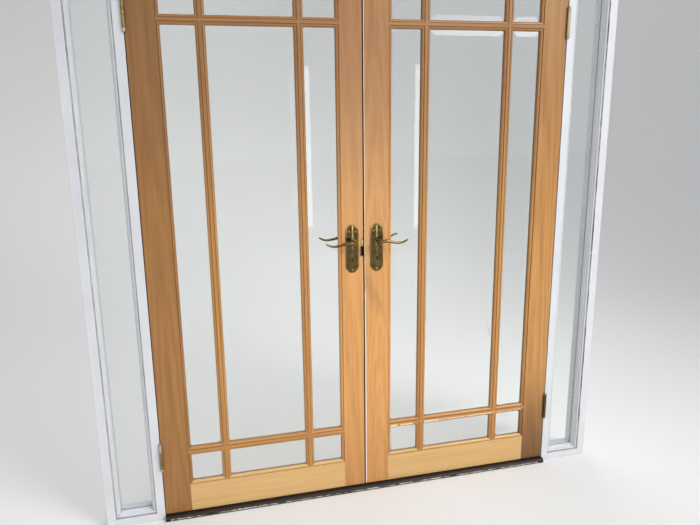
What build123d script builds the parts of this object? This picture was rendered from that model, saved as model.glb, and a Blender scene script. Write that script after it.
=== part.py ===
from build123d import *
import os

# French doors: a pair of glazed timber leaves with rebated meeting stiles, in a painted frame with a narrow
# sidelight each side. Millimetres. X runs to the right seen from the hinge-knuckle side, Y runs into the
# opening, Z is up. The origin is on the floor, under the middle of the leaves' thickness.

# Leaf
LEAF_WIDTH = 762.0
LEAF_HEIGHT = 1924.0
LEAF_THICK = 35.0
STILE_FACE = 92.0
TOP_RAIL_FACE = 92.0
BOTTOM_RAIL_FACE = 105.0
MOULDING = 11.0
BAR_WIDTH = 32.0
NARROW_PANE = 106.0
SHORT_PANE = 102.0
GAP = 3.0
UNDER_LEAF = 20.0
MEETING_REBATE = 12.0
LIP_BACK = 2.0
LIP_CLEAR = 0.75
TENON_LENGTH = 40.0
TENON_THICK = 10.0
TENON_SHOULDER = 14.0
TENON_PLAY = 0.15
BAR_TENON = 14.0
ARRIS = 1.2

# Moulding of the leaf, as depths behind the face and distances from the sight line
SEAT_DEPTH = 11.0
OVOLO_WIDTH = 8.5
OVOLO_TOP = 1.8
OVOLO_FOOT = 10.0
OVOLO_BULGE = 0.29
QUIRK_DEPTH = 3.2
QUIRK_WIDTH = 2.2
REBATE_WIDTH = 9.0

# Panes and the beads behind them
PANE_COVER = 7.5
PANE_THICK = 5.0
BEVEL_WIDTH = 18.0
BEVEL_DROP = 2.0
BEAD_PLAY = 0.2
SPLAY_START = 6.0
SPLAY_TOP = 3.0

# Frame
FRAME_DEPTH = 70.0
FRAME_FACE = 30.0
GLAZING_REBATE = 16.0
SIDELIGHT_DAYLIGHT = 108.0
SILL_FACE = 27.0
SIDE_GLASS_DEPTH = 32.0
SIDE_GLASS_THICK = 4.0
SIDE_GLASS_COVER = 12.0
STOP_THICK = 12.0
STOP_CLEAR = 2.0
THRESHOLD_THICK = 16.0
THRESHOLD_NOSE = 20.0
NOSE_R = 8.8
FIXING_HOLE_R = 3.5
FIXING_SPACING = 1500.0
FIXING_CENTRE = 990.0
FRAME_TENON = 25.0
FRAME_TENON_SHOULDER = 8.0
FRAME_TENON_DEPTHS = (42.0, 58.0)
STOP_CHAMFER = 2.0

# Beads in front of the sidelight glass, as depths behind the frame's face and distances from the sight line
BEAD_FILLET = 4.0
HOLLOW_START = (3.4, 19.0)
HOLLOW_MIDDLE = (4.6, 14.6)
HOLLOW_END = (8.0, 13.0)
NOSE_SIDES = (8.0, 13.6)
NOSE_SPRING = 7.6
NOSE_CREST = 4.8
BEAD_QUIRK = 12.5
OPEN_MITRE_INNER = 1.0
OPEN_MITRE_OUTER = 3.5

# Screws, as head and shank radius
WOOD_SCREW = (4.0, 1.8)
LOCK_SCREW = (3.4, 1.6)
SMALL_SCREW = (3.0, 1.4)
SCREW_PLAY = 0.06
HEAD_ROOM = 2.5

# Hinges
HINGE_LENGTH = 102.0
HINGE_CENTRES = (249.0, 1737.0)
KNUCKLES = 5
KNUCKLE_R = 5.5
PIN_R = 3.0
PIN_PLAY = 0.05
KNUCKLE_CLEAR = 0.2
HINGE_PLATE_THICK = 2.2
HINGE_PLATE_REACH = 30.0
KNUCKLE_ROOM = 0.4
HINGE_SCREW = 22.0
HINGE_SCREW_PLACES = ((-38.0, 12.0), (-14.0, 21.0), (14.0, 21.0), (38.0, 12.0))
CAP_THICK = 1.4
CAP_GAP = 0.3
FINIAL_R = 3.5
FINIAL_RISE = 2.2

# Handles and lock
SPINDLE_HEIGHT = 987.0
KEYHOLE_DROP = 61.0
BACKSET = 46.0
LEFT_BACKSET = 42.0
PLATE_WIDTH = 47.0
PLATE_HEIGHT = 175.0
PLATE_CENTRE = 961.0
PLATE_RIM = 2.4
PLATE_RIM_WIDTH = 4.0
PLATE_CROWN = 7.0
CROWN_R = 58.0
BOW_R = 2400.0
SHOULDER_DROP = 19.0
ARCH_START = (0.66, 8.0)
ARCH_MIDDLE = (0.36, 1.9)
BOSS_R = 13.0
BOSS_RISE = 0.8
NECK_HOLE_R = 6.5
KEYHOLE_R = 3.4
KEY_SLOT = 1.6
KEY_DROP = 10.0
HEAD_SUNK = 0.3
HANDLE_SCREW = 15.0
PLATE_SCREWS = ((-11.8, 62.5), (11.8, 62.5), (0.0, -77.0))
SPINDLE_SIZE = 7.6
SPINDLE_REACH = 14.0
SPINDLE_ROOM_R = 8.0

# Lever: its turned neck as radius and height, the line of its arm along X and Z, and the half depths and half
# heights of its arm from the neck to the tip
LEVER_LIFT = 1.2
LEVER_HEIGHT = 44.0
NECK = ((8.6, 0.0), (8.6, 2.5), (6.6, 4.0), (5.4, 11.0), (6.0, 17.0), (8.0, 22.0), (9.6, 27.0), (9.9, 33.0),
        (8.9, 39.0), (6.2, 43.0), (0.0, 44.6))
ARM_LINE = ((0, 0), (10, 2.4), (22, 3.8), (36, 2.0), (50, -1.8), (64, -4.6), (78, -4.8), (90, -1.8),
            (102, 4.6))
ARM_SECTIONS = ((6.2, 6.6), (5.9, 6.1), (5.5, 5.4), (5.2, 4.9), (4.9, 4.6), (4.6, 4.2), (3.9, 3.6),
                (2.7, 2.5))
TIP_R = 2.8

# Lock
LATCH_CENTRE = 979.0
LATCH_HEIGHT = 16.0
LATCH_THROW = 10.0
DEAD_BOLT_CENTRE = 951.0
DEAD_BOLT_HEIGHT = 22.0
BOLT_THICK = 8.0
BOLT_CENTRE_Y = -5.5
CASE_THICK = 14.0
CASE_DEPTH = 58.0
CASE_BOTTOM = 904.0
CASE_TOP = 1016.0
CASE_WALL = 1.5
FOREND_THICK = 2.2
FOREND_BOTTOM = 880.0
FOREND_TOP = 1040.0
FOREND_FRONT = -15.5
FOREND_REAR = 14.5
FOREND_SCREW_Y = 8.5
FOREND_SCREW_INSET = 12.0
LOCK_SCREW_LENGTH = 18.0
BOLT_PLAY = 0.3
CHANNEL_PLAY = 0.5
FOLLOWER_R = 9.0
ARM_HALF = 3.0
ARM_REACH = 18.0
LATCH_TAIL_THICK = 3.0
LATCH_TAIL_HEIGHT = 6.0
LATCH_BLUNT = 2.0
LATCH_HEEL = 9.0
LUG_THICK = 5.0
DEAD_BOLT_SHY = 0.6
DEAD_BOLT_TAIL = 24.0
TALON_LENGTH = 14.0

# Keep and flush bolts
STRIKE_BOTTOM = 918.0
STRIKE_TOP = 1008.0
STRIKE_INSET = 2.0
STRIKE_REAR = 0.5
STRIKE_THICK = 2.0
STRIKE_SCREW_INSET = 9.0
LIP_REACH = 8.0
LIP_CORNER_R = 3.0
LIP_ARRIS_R = 1.6
POCKET_DEPTH = 24.0
NOTCH_DEPTH = 10.0
NOTCH_LOW, NOTCH_HIGH = 934.0, 967.0
LIP_LOW, LIP_HIGH = 969.0, 990.0
FLUSH_BOLT_INSET = 11.0
FLUSH_BOLT_Y = -8.0
FLUSH_ROD_R = 4.0
FLUSH_SOCKET_R = 4.6
FLUSH_SOCKET_HEAD = 25.0
FLUSH_PLATE_HEIGHT = 150.0
FLUSH_PLATE_HALF = 8.0
FLUSH_THROW = 14.0
FLUSH_FROM_END = 4.0
FLUSH_SLOT_INSET = 18.0
FLUSH_SLIDE = 14.0
FLUSH_SCREW_INSET = 6.0
FLUSH_SCREW = 4.5
FLUSH_HOUSING_HALF = 4.6

# Wear seen on the right leaf. The lower cross bar's front edge is chewed, each mark given by its place from
# the meeting edge, its depth and its length. The meeting arris is planed away to a height above the floor
CHEW_MARKS = ((108, 5.0, 14), (128, 3.0, 10), (150, 4.4, 18), (171, 2.8, 9), (196, 3.4, 15), (224, 2.4, 18),
              (252, 4.2, 11), (279, 2.6, 12), (306, 3.0, 16), (338, 2.0, 14), (372, 2.6, 12), (401, 1.8, 10))
PLANED_TOP = 799.0
PLANED_WIDTH = 5.0
PLANED_DEPTH = 1.6

# Sizes that follow from these
FACE = -LEAF_THICK / 2
BACK = LEAF_THICK / 2
FRAME_BACK = FACE + FRAME_DEPTH
LEAF_TOP = UNDER_LEAF + LEAF_HEIGHT
MEETING_LAP = MEETING_REBATE - GAP
HALF_OPENING = LEAF_WIDTH - MEETING_LAP / 2 + GAP
POST_OUTER = HALF_OPENING + FRAME_FACE + GLAZING_REBATE
JAMB_INNER = POST_OUTER + SIDELIGHT_DAYLIGHT
HALF_WIDTH = JAMB_INNER + GLAZING_REBATE + FRAME_FACE
HEAD_BOTTOM = LEAF_TOP + GAP
HEAD_TOP = HEAD_BOTTOM + GLAZING_REBATE + FRAME_FACE
SILL_TOP = SILL_FACE + GLAZING_REBATE
LIP_EDGE = -MEETING_LAP / 2
TONGUE_EDGE = MEETING_LAP / 2
PIN_X = HALF_OPENING - GAP / 2
PIN_Y = FACE - KNUCKLE_R
RIGHT_SPINDLE_X = LIP_EDGE + BACKSET
LEFT_SPINDLE_X = LIP_EDGE - GAP - LEFT_BACKSET
WIDE_PANE = LEAF_WIDTH - 2 * (STILE_FACE + MOULDING + NARROW_PANE + BAR_WIDTH)
TALL_PANE = LEAF_HEIGHT - BOTTOM_RAIL_FACE - TOP_RAIL_FACE - 2 * (MOULDING + SHORT_PANE + BAR_WIDTH)
KEY_Z = SPINDLE_HEIGHT - KEYHOLE_DROP
CASE_FRONT = LIP_EDGE + MEETING_REBATE + FOREND_THICK + 0.2
CASE_Y1 = BOLT_CENTRE_Y - CASE_THICK / 2
CASE_Y2 = BOLT_CENTRE_Y + CASE_THICK / 2
FOREND_SCREW_X = LIP_EDGE + MEETING_REBATE
FOREND_SCREWS = (FOREND_BOTTOM + FOREND_SCREW_INSET, FOREND_TOP - FOREND_SCREW_INSET)
STRIKE_X = LIP_EDGE - GAP
STRIKE_FRONT = FACE + STRIKE_INSET
STRIKE_SCREW_Y = BOLT_CENTRE_Y - 1
STRIKE_SCREWS = (STRIKE_BOTTOM + STRIKE_SCREW_INSET, STRIKE_TOP - STRIKE_SCREW_INSET)
FLUSH_BOLT_X = STRIKE_X - FLUSH_BOLT_INSET


def block(x1, x2, y1, y2, z1, z2):
    """A square-edged piece between two corners."""
    middle = Vector((x1 + x2) / 2, (y1 + y2) / 2, (z1 + z2) / 2)
    return Pos(middle) * Box(abs(x2 - x1), abs(y2 - y1), abs(z2 - z1))


def rod(x, y, z, radius, length, direction):
    """A round bar that starts at a point and runs along a direction."""
    return extrude(Plane((x, y, z), z_dir=direction) * Circle(radius), amount=length)


def outline(start, steps, place):
    """A face from straight steps (one point) and arcs (a point on the way and an end point)."""
    edges = []
    here = start
    for step in steps:
        if len(step) == 1:
            edges.append(Line(place(*here), place(*step[0])))
        else:
            edges.append(ThreePointArc(place(*here), place(*step[0]), place(*step[1])))
        here = step[-1]
    return make_face(edges)


def prism(points, place, direction, length):
    """A polygon carried along a direction."""
    face = outline(points[0], [(p,) for p in points[1:] + points[:1]], place)
    return extrude(face, amount=length, dir=direction)


def board(points):
    """A member of a leaf: its outline on the face, through the whole thickness."""
    return prism(points, lambda x, z: (x, FACE, z), (0, 1, 0), LEAF_THICK)


def one_solid(shape):
    """The single solid of a cut or joined shape."""
    solids = shape.solids()
    return max(solids, key=lambda piece: piece.volume)


def mirrored(shape):
    """The same piece for the other leaf."""
    return mirror(shape, about=Plane.YZ)


def eased(timber, corners):
    """Rounds the upright arrises of a timber that stand at the given places in plan."""
    edges = [edge for edge in timber.edges().filter_by(Axis.Z)
             for x, y in corners if abs(edge.center().X - x) + abs(edge.center().Y - y) < 0.01]
    return timber.fillet(ARRIS, edges)


# Columns and rows of panes, measured from the hinge edge and the foot of a leaf
def pane_columns():
    first = STILE_FACE + MOULDING
    second = first + NARROW_PANE + BAR_WIDTH
    third = second + WIDE_PANE + BAR_WIDTH
    return [(first, first + NARROW_PANE), (second, second + WIDE_PANE), (third, third + NARROW_PANE)]


def pane_rows():
    first = BOTTOM_RAIL_FACE + MOULDING
    second = first + SHORT_PANE + BAR_WIDTH
    third = second + TALL_PANE + BAR_WIDTH
    return [(first, first + SHORT_PANE), (second, second + TALL_PANE), (third, third + SHORT_PANE)]


COLUMNS = pane_columns()
ROWS = pane_rows()
UPRIGHTS = [(COLUMNS[0][1], COLUMNS[1][0]), (COLUMNS[1][1], COLUMNS[2][0])]
CROSS_BARS = [(ROWS[0][1], ROWS[1][0]), (ROWS[1][1], ROWS[2][0])]


def pane_opening_section(low, high, place):
    """The hollow of one pane: quirk and ovolo to the front, glazing rebate to the back."""
    bulge = OVOLO_WIDTH * OVOLO_BULGE
    bulge_depth = OVOLO_TOP + (OVOLO_FOOT - OVOLO_TOP) * OVOLO_BULGE
    way = [(MOULDING, -1), (MOULDING, 0), (MOULDING, QUIRK_DEPTH), (MOULDING - QUIRK_WIDTH, QUIRK_DEPTH),
           (OVOLO_WIDTH, OVOLO_TOP), (bulge, bulge_depth), (0, OVOLO_FOOT), (0, SEAT_DEPTH),
           (REBATE_WIDTH, SEAT_DEPTH), (REBATE_WIDTH, LEAF_THICK + 1)]
    a = [(high + out, FACE + depth) for out, depth in way]
    b = [(low - out, FACE + depth) for out, depth in way]
    steps = [(point,) for point in a[:5]] + [(a[5], a[6])] + [(point,) for point in a[7:]]
    steps += [(b[9],), (b[8],), (b[7],), (b[6],), (b[5], b[4]), (b[3],), (b[2],), (b[1],), (b[0],)]
    return outline(b[0], steps, place)


def pane_opening(column, row):
    """Crossing the two hollows leaves the mouldings mitred in the corners."""
    margin = MOULDING + 1
    low_x, high_x = column
    low_z, high_z = row
    upright = pane_opening_section(low_x, high_x, lambda a, y: (a, y, low_z - margin))
    level = pane_opening_section(low_z, high_z, lambda a, y: (low_x - margin, y, a))
    return (extrude(upright, amount=high_z - low_z + 2 * margin, dir=(0, 0, 1))
            & extrude(level, amount=high_x - low_x + 2 * margin, dir=(1, 0, 0)))


def crossing(low, high, at, into):
    """The four points of a bar's mitred notch or point, walked from low to high."""
    return [(low, at), (low + MOULDING, at + into), (high - MOULDING, at + into), (high, at)]


def stile_outline():
    """Hinge stile of a leaf, running the full height, with a mitred notch at each cross bar."""
    sight = STILE_FACE + MOULDING
    points = [(0, 0), (STILE_FACE, 0), (STILE_FACE, BOTTOM_RAIL_FACE), (sight, ROWS[0][0])]
    for low, high in CROSS_BARS:
        points += [(x, z) for z, x in crossing(low, high, sight, -MOULDING)]
    points += [(sight, ROWS[2][1]), (STILE_FACE, LEAF_HEIGHT - TOP_RAIL_FACE)]
    return points + [(STILE_FACE, LEAF_HEIGHT), (0, LEAF_HEIGHT)]


def rail_outline(outer, face, sight):
    """A rail between the stiles, from its outer edge to the sight line, notched for the uprights."""
    into = face - sight
    points = [(STILE_FACE, outer), (STILE_FACE, face), (COLUMNS[0][0], sight)]
    for low, high in UPRIGHTS:
        points += crossing(low, high, sight, into)
    far = LEAF_WIDTH - STILE_FACE
    return points + [(COLUMNS[2][1], sight), (far, face), (far, outer)]


def cross_bar_outline(low, high):
    """A cross bar, pointed into the stiles and notched for the uprights above and below."""
    points = [(STILE_FACE, high - MOULDING), (STILE_FACE, low + MOULDING), (COLUMNS[0][0], low)]
    for left, right in UPRIGHTS:
        points += crossing(left, right, low, MOULDING)
    points += [(COLUMNS[2][1], low), (LEAF_WIDTH - STILE_FACE, low + MOULDING)]
    points += [(LEAF_WIDTH - STILE_FACE, high - MOULDING), (COLUMNS[2][1], high)]
    for left, right in reversed(UPRIGHTS):
        points += list(reversed(crossing(left, right, high, -MOULDING)))
    return points + [(COLUMNS[0][0], high)]


def upright_outline(left, right, low, high):
    """One length of upright bar between two rails or bars, pointed at both ends."""
    return crossing(left, right, low, -MOULDING) + list(reversed(crossing(left, right, high, MOULDING)))


def tenon(low, high, length=TENON_LENGTH, play=0.0):
    """A rail's tenon at the hinge end, or with play its mortise."""
    half = TENON_THICK / 2 + play
    return block(STILE_FACE - length - 8 * play, STILE_FACE, -half, half, low - play, high + play)


def far_end(shape):
    """The same joint at the meeting stile."""
    return Pos(LEAF_WIDTH, 0, 0) * mirrored(shape)


RAIL_TENONS = [(TENON_SHOULDER, BOTTOM_RAIL_FACE - TENON_SHOULDER, TENON_LENGTH),
               (LEAF_HEIGHT - TOP_RAIL_FACE + TENON_SHOULDER, LEAF_HEIGHT - TENON_SHOULDER, TENON_LENGTH)]
BAR_TENONS = [(low + MOULDING + 1, high - MOULDING - 1, BAR_TENON) for low, high in CROSS_BARS]


def leaf_members():
    """The timbers of one leaf, as drawn for the left leaf with its hinge edge at X zero."""
    openings = [[pane_opening(column, row) for column in COLUMNS] for row in ROWS]
    first, middle, last = ([row[i] for row in openings] for i in range(3))
    hinge_stile = eased(board(stile_outline()), [(0, FACE), (0, BACK)])
    for low, high, length in RAIL_TENONS + BAR_TENONS:
        hinge_stile -= tenon(low, high, length, TENON_PLAY)
    meeting_stile = one_solid(far_end(hinge_stile) - last)
    hinge_stile = one_solid(hinge_stile - first)

    bottom = board(rail_outline(0, BOTTOM_RAIL_FACE, ROWS[0][0]))
    top = board(rail_outline(LEAF_HEIGHT, LEAF_HEIGHT - TOP_RAIL_FACE, ROWS[2][1]))
    rails = []
    for rail, ends, row in ((bottom, RAIL_TENONS[0], openings[0]), (top, RAIL_TENONS[1], openings[2])):
        peg = tenon(*ends)
        rails.append(one_solid(rail + peg + far_end(peg) - row))

    bars = []
    for index, (low, high) in enumerate(CROSS_BARS):
        peg = tenon(*BAR_TENONS[index])
        bar = board(cross_bar_outline(low, high)) + peg + far_end(peg)
        bars.append(one_solid(bar - openings[index] - openings[index + 1]))

    uprights = []
    for side, (left, right) in enumerate(UPRIGHTS):
        for row, (low, high) in enumerate(ROWS):
            length = board(upright_outline(left, right, low, high))
            uprights.append(one_solid(length - openings[row][side] - openings[row][side + 1]))
    return {"hinge_stile": hinge_stile, "meeting_stile": meeting_stile, "bottom_rail": rails[0],
            "top_rail": rails[1], "cross_bars": bars, "upright_bars": uprights}


def bevelled_pane(column, row):
    """Clear glass with a wide bevel on the front, its edge bedded against the moulding."""
    front = FACE + SEAT_DEPTH
    back = front + PANE_THICK - BEVEL_DROP

    def section(low, high, place):
        points = [(low - PANE_COVER, back), (low - PANE_COVER, front), (low, front),
                  (low + BEVEL_WIDTH, front - BEVEL_DROP), (high - BEVEL_WIDTH, front - BEVEL_DROP),
                  (high, front), (high + PANE_COVER, front), (high + PANE_COVER, back)]
        return outline(points[0], [(p,) for p in points[1:] + points[:1]], place)

    wide = column[1] - column[0] + 2 * PANE_COVER
    tall = row[1] - row[0] + 2 * PANE_COVER
    upright = section(column[0], column[1], lambda a, y: (a, y, row[0] - PANE_COVER))
    level = section(row[0], row[1], lambda a, y: (column[0] - PANE_COVER, y, a))
    pane = extrude(upright, amount=tall, dir=(0, 0, 1)) & extrude(level, amount=wide, dir=(1, 0, 0))
    return one_solid(pane)


def mitred_strips(column, row, cover, steps, start):
    """Four strips round a pane, mitred at the corners, of one section: distance from the sight line, Y."""
    (x1, x2), (z1, z2) = column, row
    reach = cover + 1
    strips = []
    sides = (
        (lambda a, y: (x1 - a, y, z1 - reach), (0, 0, 1), z2 - z1 + 2 * reach,
         [(x1, z1), (x1 - reach, z1 - reach), (x1 - reach, z2 + reach), (x1, z2)]),
        (lambda a, y: (x2 + a, y, z1 - reach), (0, 0, 1), z2 - z1 + 2 * reach,
         [(x2, z1), (x2 + reach, z1 - reach), (x2 + reach, z2 + reach), (x2, z2)]),
        (lambda a, y: (x1 - reach, y, z1 - a), (1, 0, 0), x2 - x1 + 2 * reach,
         [(x1, z1), (x1 - reach, z1 - reach), (x2 + reach, z1 - reach), (x2, z1)]),
        (lambda a, y: (x1 - reach, y, z2 + a), (1, 0, 0), x2 - x1 + 2 * reach,
         [(x1, z2), (x1 - reach, z2 + reach), (x2 + reach, z2 + reach), (x2, z2)]),
    )
    for place, along, length, mitre in sides:
        strip = extrude(outline(start, steps, place), amount=length, dir=along)
        mask = prism(mitre, lambda x, z: (x, FACE, z), (0, 1, 0), FRAME_DEPTH)
        strips.append(one_solid(strip & mask))
    return strips


def back_beads(column, row):
    """Pinned beads that hold a pane from behind, splayed towards the glass."""
    cover = REBATE_WIDTH - BEAD_PLAY
    glass = FACE + SEAT_DEPTH + PANE_THICK - BEVEL_DROP
    start = (0, glass)
    steps = [((0, glass + SPLAY_START),), ((cover - SPLAY_TOP, BACK),), ((cover, BACK),), ((cover, glass),),
             (start,)]
    return mitred_strips(column, row, cover, steps, start)


def place_leaf(shape, side):
    """Hangs a piece drawn for the left leaf in the frame, mirrored for the right leaf."""
    hung = Pos(-HALF_OPENING + GAP, 0, UNDER_LEAF) * shape
    return hung if side < 0 else mirrored(hung)


def countersunk_screw(x, y, z, direction, length, gauge=WOOD_SCREW):
    """A wood screw with its head flush at a point, driven along a direction."""
    head, shank = gauge
    rise = head - shank
    plane = Plane((x, y, z), z_dir=direction)
    section = make_face(Polyline((0, 0), (head, 0), (shank, rise), (shank, length), (0, length + shank),
                                 close=True))
    turned = revolve(Plane.XZ * section, axis=Axis.Z)
    return plane * turned


def hinge_knuckle(side, low, high):
    x = side * PIN_X
    ring = rod(x, PIN_Y, low, KNUCKLE_R, high - low, (0, 0, 1))
    return ring - rod(x, PIN_Y, low - 1, PIN_R + PIN_PLAY, high - low + 2, (0, 0, 1))


def hinge_plate(side, centre, on_frame):
    """One flap of a butt hinge with its knuckles: odd knuckles on the frame, even ones on the leaf."""
    low = centre - HINGE_LENGTH / 2
    pitch = HINGE_LENGTH / KNUCKLES
    edge = side * (HALF_OPENING if on_frame else HALF_OPENING - GAP)
    inner = edge + side * (HINGE_PLATE_THICK if on_frame else -HINGE_PLATE_THICK)
    flap_end = FACE + HINGE_PLATE_REACH
    flap = block(edge, inner, FACE - KNUCKLE_R / 2, flap_end, low, low + HINGE_LENGTH)
    flap -= rod(side * PIN_X, PIN_Y, low - 1, PIN_R + PIN_PLAY, HINGE_LENGTH + 2, (0, 0, 1))
    for index in range(KNUCKLES):
        bottom = low + index * pitch + KNUCKLE_CLEAR / 2
        top = low + (index + 1) * pitch - KNUCKLE_CLEAR / 2
        if (index % 2 == 0) == on_frame:
            flap += hinge_knuckle(side, bottom, top)
        else:
            flap -= rod(side * PIN_X, PIN_Y, bottom - KNUCKLE_CLEAR, KNUCKLE_R + KNUCKLE_ROOM,
                        top - bottom + 2 * KNUCKLE_CLEAR, (0, 0, 1))
    for bore in hinge_bores(side, centre, on_frame):
        flap -= bore
    return one_solid(flap)


def hinge_recess(side, centre, on_frame):
    """The housing cut in the timber for a flap."""
    edge = side * (HALF_OPENING if on_frame else HALF_OPENING - GAP)
    inner = edge + side * (HINGE_PLATE_THICK if on_frame else -HINGE_PLATE_THICK)
    half = HINGE_LENGTH / 2
    return block(edge - side * (1 if on_frame else -1), inner, FACE - 1, FACE + HINGE_PLATE_REACH,
                 centre - half, centre + half)


def hinge_screw_places(side, centre, on_frame):
    """Where the four screws of a flap start, staggered in two rows, and which way they go."""
    edge = side * (HALF_OPENING if on_frame else HALF_OPENING - GAP)
    away = side if on_frame else -side
    return [(edge, FACE + depth, centre + height, (away, 0, 0)) for height, depth in HINGE_SCREW_PLACES]


def hinge_screws(side, centre, on_frame):
    return [countersunk_screw(*place, HINGE_SCREW) for place in hinge_screw_places(side, centre, on_frame)]


def hinge_bores(side, centre, on_frame):
    return [screw_bore(*place, HINGE_SCREW) for place in hinge_screw_places(side, centre, on_frame)]


def hinge_pin(side, centre):
    """The pin with a small ball finial at each end."""
    half = HINGE_LENGTH / 2
    pin = rod(side * PIN_X, PIN_Y, centre - half - 1, PIN_R, HINGE_LENGTH + 2, (0, 0, 1))
    for end in (-1, 1):
        cap = rod(side * PIN_X, PIN_Y, centre + end * (half + CAP_GAP), KNUCKLE_R - KNUCKLE_ROOM, CAP_THICK,
                  (0, 0, end))
        ball = Pos(side * PIN_X, PIN_Y, centre + end * (half + FINIAL_RISE)) * Sphere(FINIAL_R)
        pin = pin + cap + ball
    return one_solid(pin)


def screw_bore(x, y, z, direction, length, gauge=WOOD_SCREW):
    """The hole that a countersunk screw needs, a touch larger than the screw and open above its head."""
    head, shank = gauge[0] + 2 * SCREW_PLAY, gauge[1] + SCREW_PLAY
    start = Vector(x, y, z) - Vector(*direction) * SCREW_PLAY
    away = tuple(Vector(*direction) * -1)
    bore = countersunk_screw(start.X, start.Y, start.Z, direction, length + 1, (head, shank))
    return bore + rod(start.X, start.Y, start.Z, head, HEAD_ROOM, away)


def plate_outline(grow=0.0):
    """Backplate: straight sides, sloping shoulders and a round arch at each end."""
    half_wide = PLATE_WIDTH / 2 + grow
    half_tall = PLATE_HEIGHT / 2 + grow
    side_end = half_tall - SHOULDER_DROP
    arch_x, arch_z = half_wide * ARCH_START[0], half_tall - ARCH_START[1]
    bend_x, bend_z = half_wide * ARCH_MIDDLE[0], half_tall - ARCH_MIDDLE[1]
    steps = [((half_wide, side_end),), ((arch_x, arch_z),), ((bend_x, bend_z), (0, half_tall)),
             ((-bend_x, bend_z), (-arch_x, arch_z)), ((-half_wide, side_end),), ((-half_wide, -side_end),),
             ((-arch_x, -arch_z),), ((-bend_x, -bend_z), (0, -half_tall)),
             ((bend_x, -bend_z), (arch_x, -arch_z)), ((half_wide, -side_end),)]
    return outline((half_wide, -side_end), steps, lambda a, b: (a, b, 0))


def handle_plate():
    """A backplate lying on its back: flat rim and a crowned field, with its spindle hole and keyhole."""
    rim = extrude(plate_outline(), amount=PLATE_RIM)
    field = extrude(plate_outline(-PLATE_RIM_WIDTH), amount=PLATE_CROWN)
    crown = Pos(0, 0, PLATE_CROWN - BOW_R) * Rot(0, 90, 0) * Torus(BOW_R - CROWN_R, CROWN_R)
    plate = rim + (field & crown)
    spindle_z = SPINDLE_HEIGHT - PLATE_CENTRE
    plate += rod(0, spindle_z, 0, BOSS_R, PLATE_CROWN + BOSS_RISE, (0, 0, 1))
    plate -= rod(0, spindle_z, -PLATE_CROWN, NECK_HOLE_R, 3 * PLATE_CROWN, (0, 0, 1))
    key_z = spindle_z - KEYHOLE_DROP
    plate -= rod(0, key_z, -PLATE_CROWN, KEYHOLE_R, 3 * PLATE_CROWN, (0, 0, 1))
    plate -= block(-KEY_SLOT, KEY_SLOT, key_z - KEY_DROP, key_z, -PLATE_CROWN, 2 * PLATE_CROWN)
    for x, z in PLATE_SCREWS:
        plate -= screw_bore(x, z, plate_height(x, z), (0, 0, -1), HANDLE_SCREW)
    return one_solid(plate)


def plate_height(x, z):
    """Height of the crowned field above the door, a little sunk, at a place from the plate's middle."""
    reach = BOW_R - CROWN_R + (CROWN_R ** 2 - x ** 2) ** 0.5
    return PLATE_CROWN - BOW_R + (reach ** 2 - z ** 2) ** 0.5 - HEAD_SUNK


def on_leaf_face(shape, x, z, front):
    """Stands a piece that was drawn lying down against the front or the back face of a leaf."""
    if front:
        return Pos(x, FACE, z) * Rot(90, 0, 0) * shape
    return Pos(x, BACK, z) * Rot(0, 0, 180) * Rot(90, 0, 0) * shape


def lever():
    """A cast lever lying on its back, its arm along +X: turned neck, swooping arm and curled tip."""
    base = PLATE_CROWN + LEVER_LIFT
    neck = make_face(Polyline((0, base), *[(radius, base + rise) for radius, rise in NECK], close=True))
    hub = revolve(Plane.XZ * neck, axis=Axis.Z)
    path = Spline([(x, z, LEVER_HEIGHT) for x, z in ARM_LINE])
    sections = []
    for index, (deep, tall) in enumerate(ARM_SECTIONS):
        at = 0.02 + 0.98 * index / (len(ARM_SECTIONS) - 1)
        plane = Plane(path @ at, x_dir=(0, 0, 1), z_dir=path % at)
        sections.append(plane * Ellipse(deep, tall))
    arm = loft(sections)
    tip = Pos(*(path @ 1)) * Sphere(TIP_R)
    half = SPINDLE_SIZE / 2 + 0.1
    socket = block(-half, half, -half, half, base - 1, base + SPINDLE_REACH + 1)
    return one_solid(hub + arm + tip - socket)


def spindle(x):
    """Square bar through both levers."""
    reach = BACK + PLATE_CROWN + SPINDLE_REACH
    half = SPINDLE_SIZE / 2
    return block(x - half, x + half, -reach, reach, SPINDLE_HEIGHT - half, SPINDLE_HEIGHT + half)


# Frame timbers, for the right side where they come in pairs
def sidelight_hollow():
    """Glazing rebate to the front and daylight through to the back, right side."""
    front = block(POST_OUTER - GLAZING_REBATE, JAMB_INNER + GLAZING_REBATE, FACE - 1,
                  FACE + SIDE_GLASS_DEPTH + SIDE_GLASS_THICK, SILL_FACE, HEAD_BOTTOM + GLAZING_REBATE)
    through = block(POST_OUTER, JAMB_INNER, FACE - 1, FRAME_BACK + 1, SILL_TOP, HEAD_BOTTOM)
    return front + through


def frame_tenon(x1, x2, play=0.0):
    """Joint between a post or jamb and the head."""
    low, high = (FACE + depth for depth in FRAME_TENON_DEPTHS)
    return block(x1 + FRAME_TENON_SHOULDER - play, x2 - FRAME_TENON_SHOULDER + play, low - play, high + play,
                 HEAD_BOTTOM, HEAD_BOTTOM + FRAME_TENON + 8 * play)


def post():
    timber = block(HALF_OPENING, POST_OUTER, FACE, FRAME_BACK, 0, HEAD_BOTTOM) - sidelight_hollow()
    timber = eased(timber, [(HALF_OPENING, FACE), (HALF_OPENING + FRAME_FACE, FACE)])
    timber += frame_tenon(HALF_OPENING, POST_OUTER)
    for centre in HINGE_CENTRES:
        timber -= hinge_recess(1, centre, True)
        for bore in hinge_bores(1, centre, True):
            timber -= bore
    return one_solid(timber)


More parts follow.
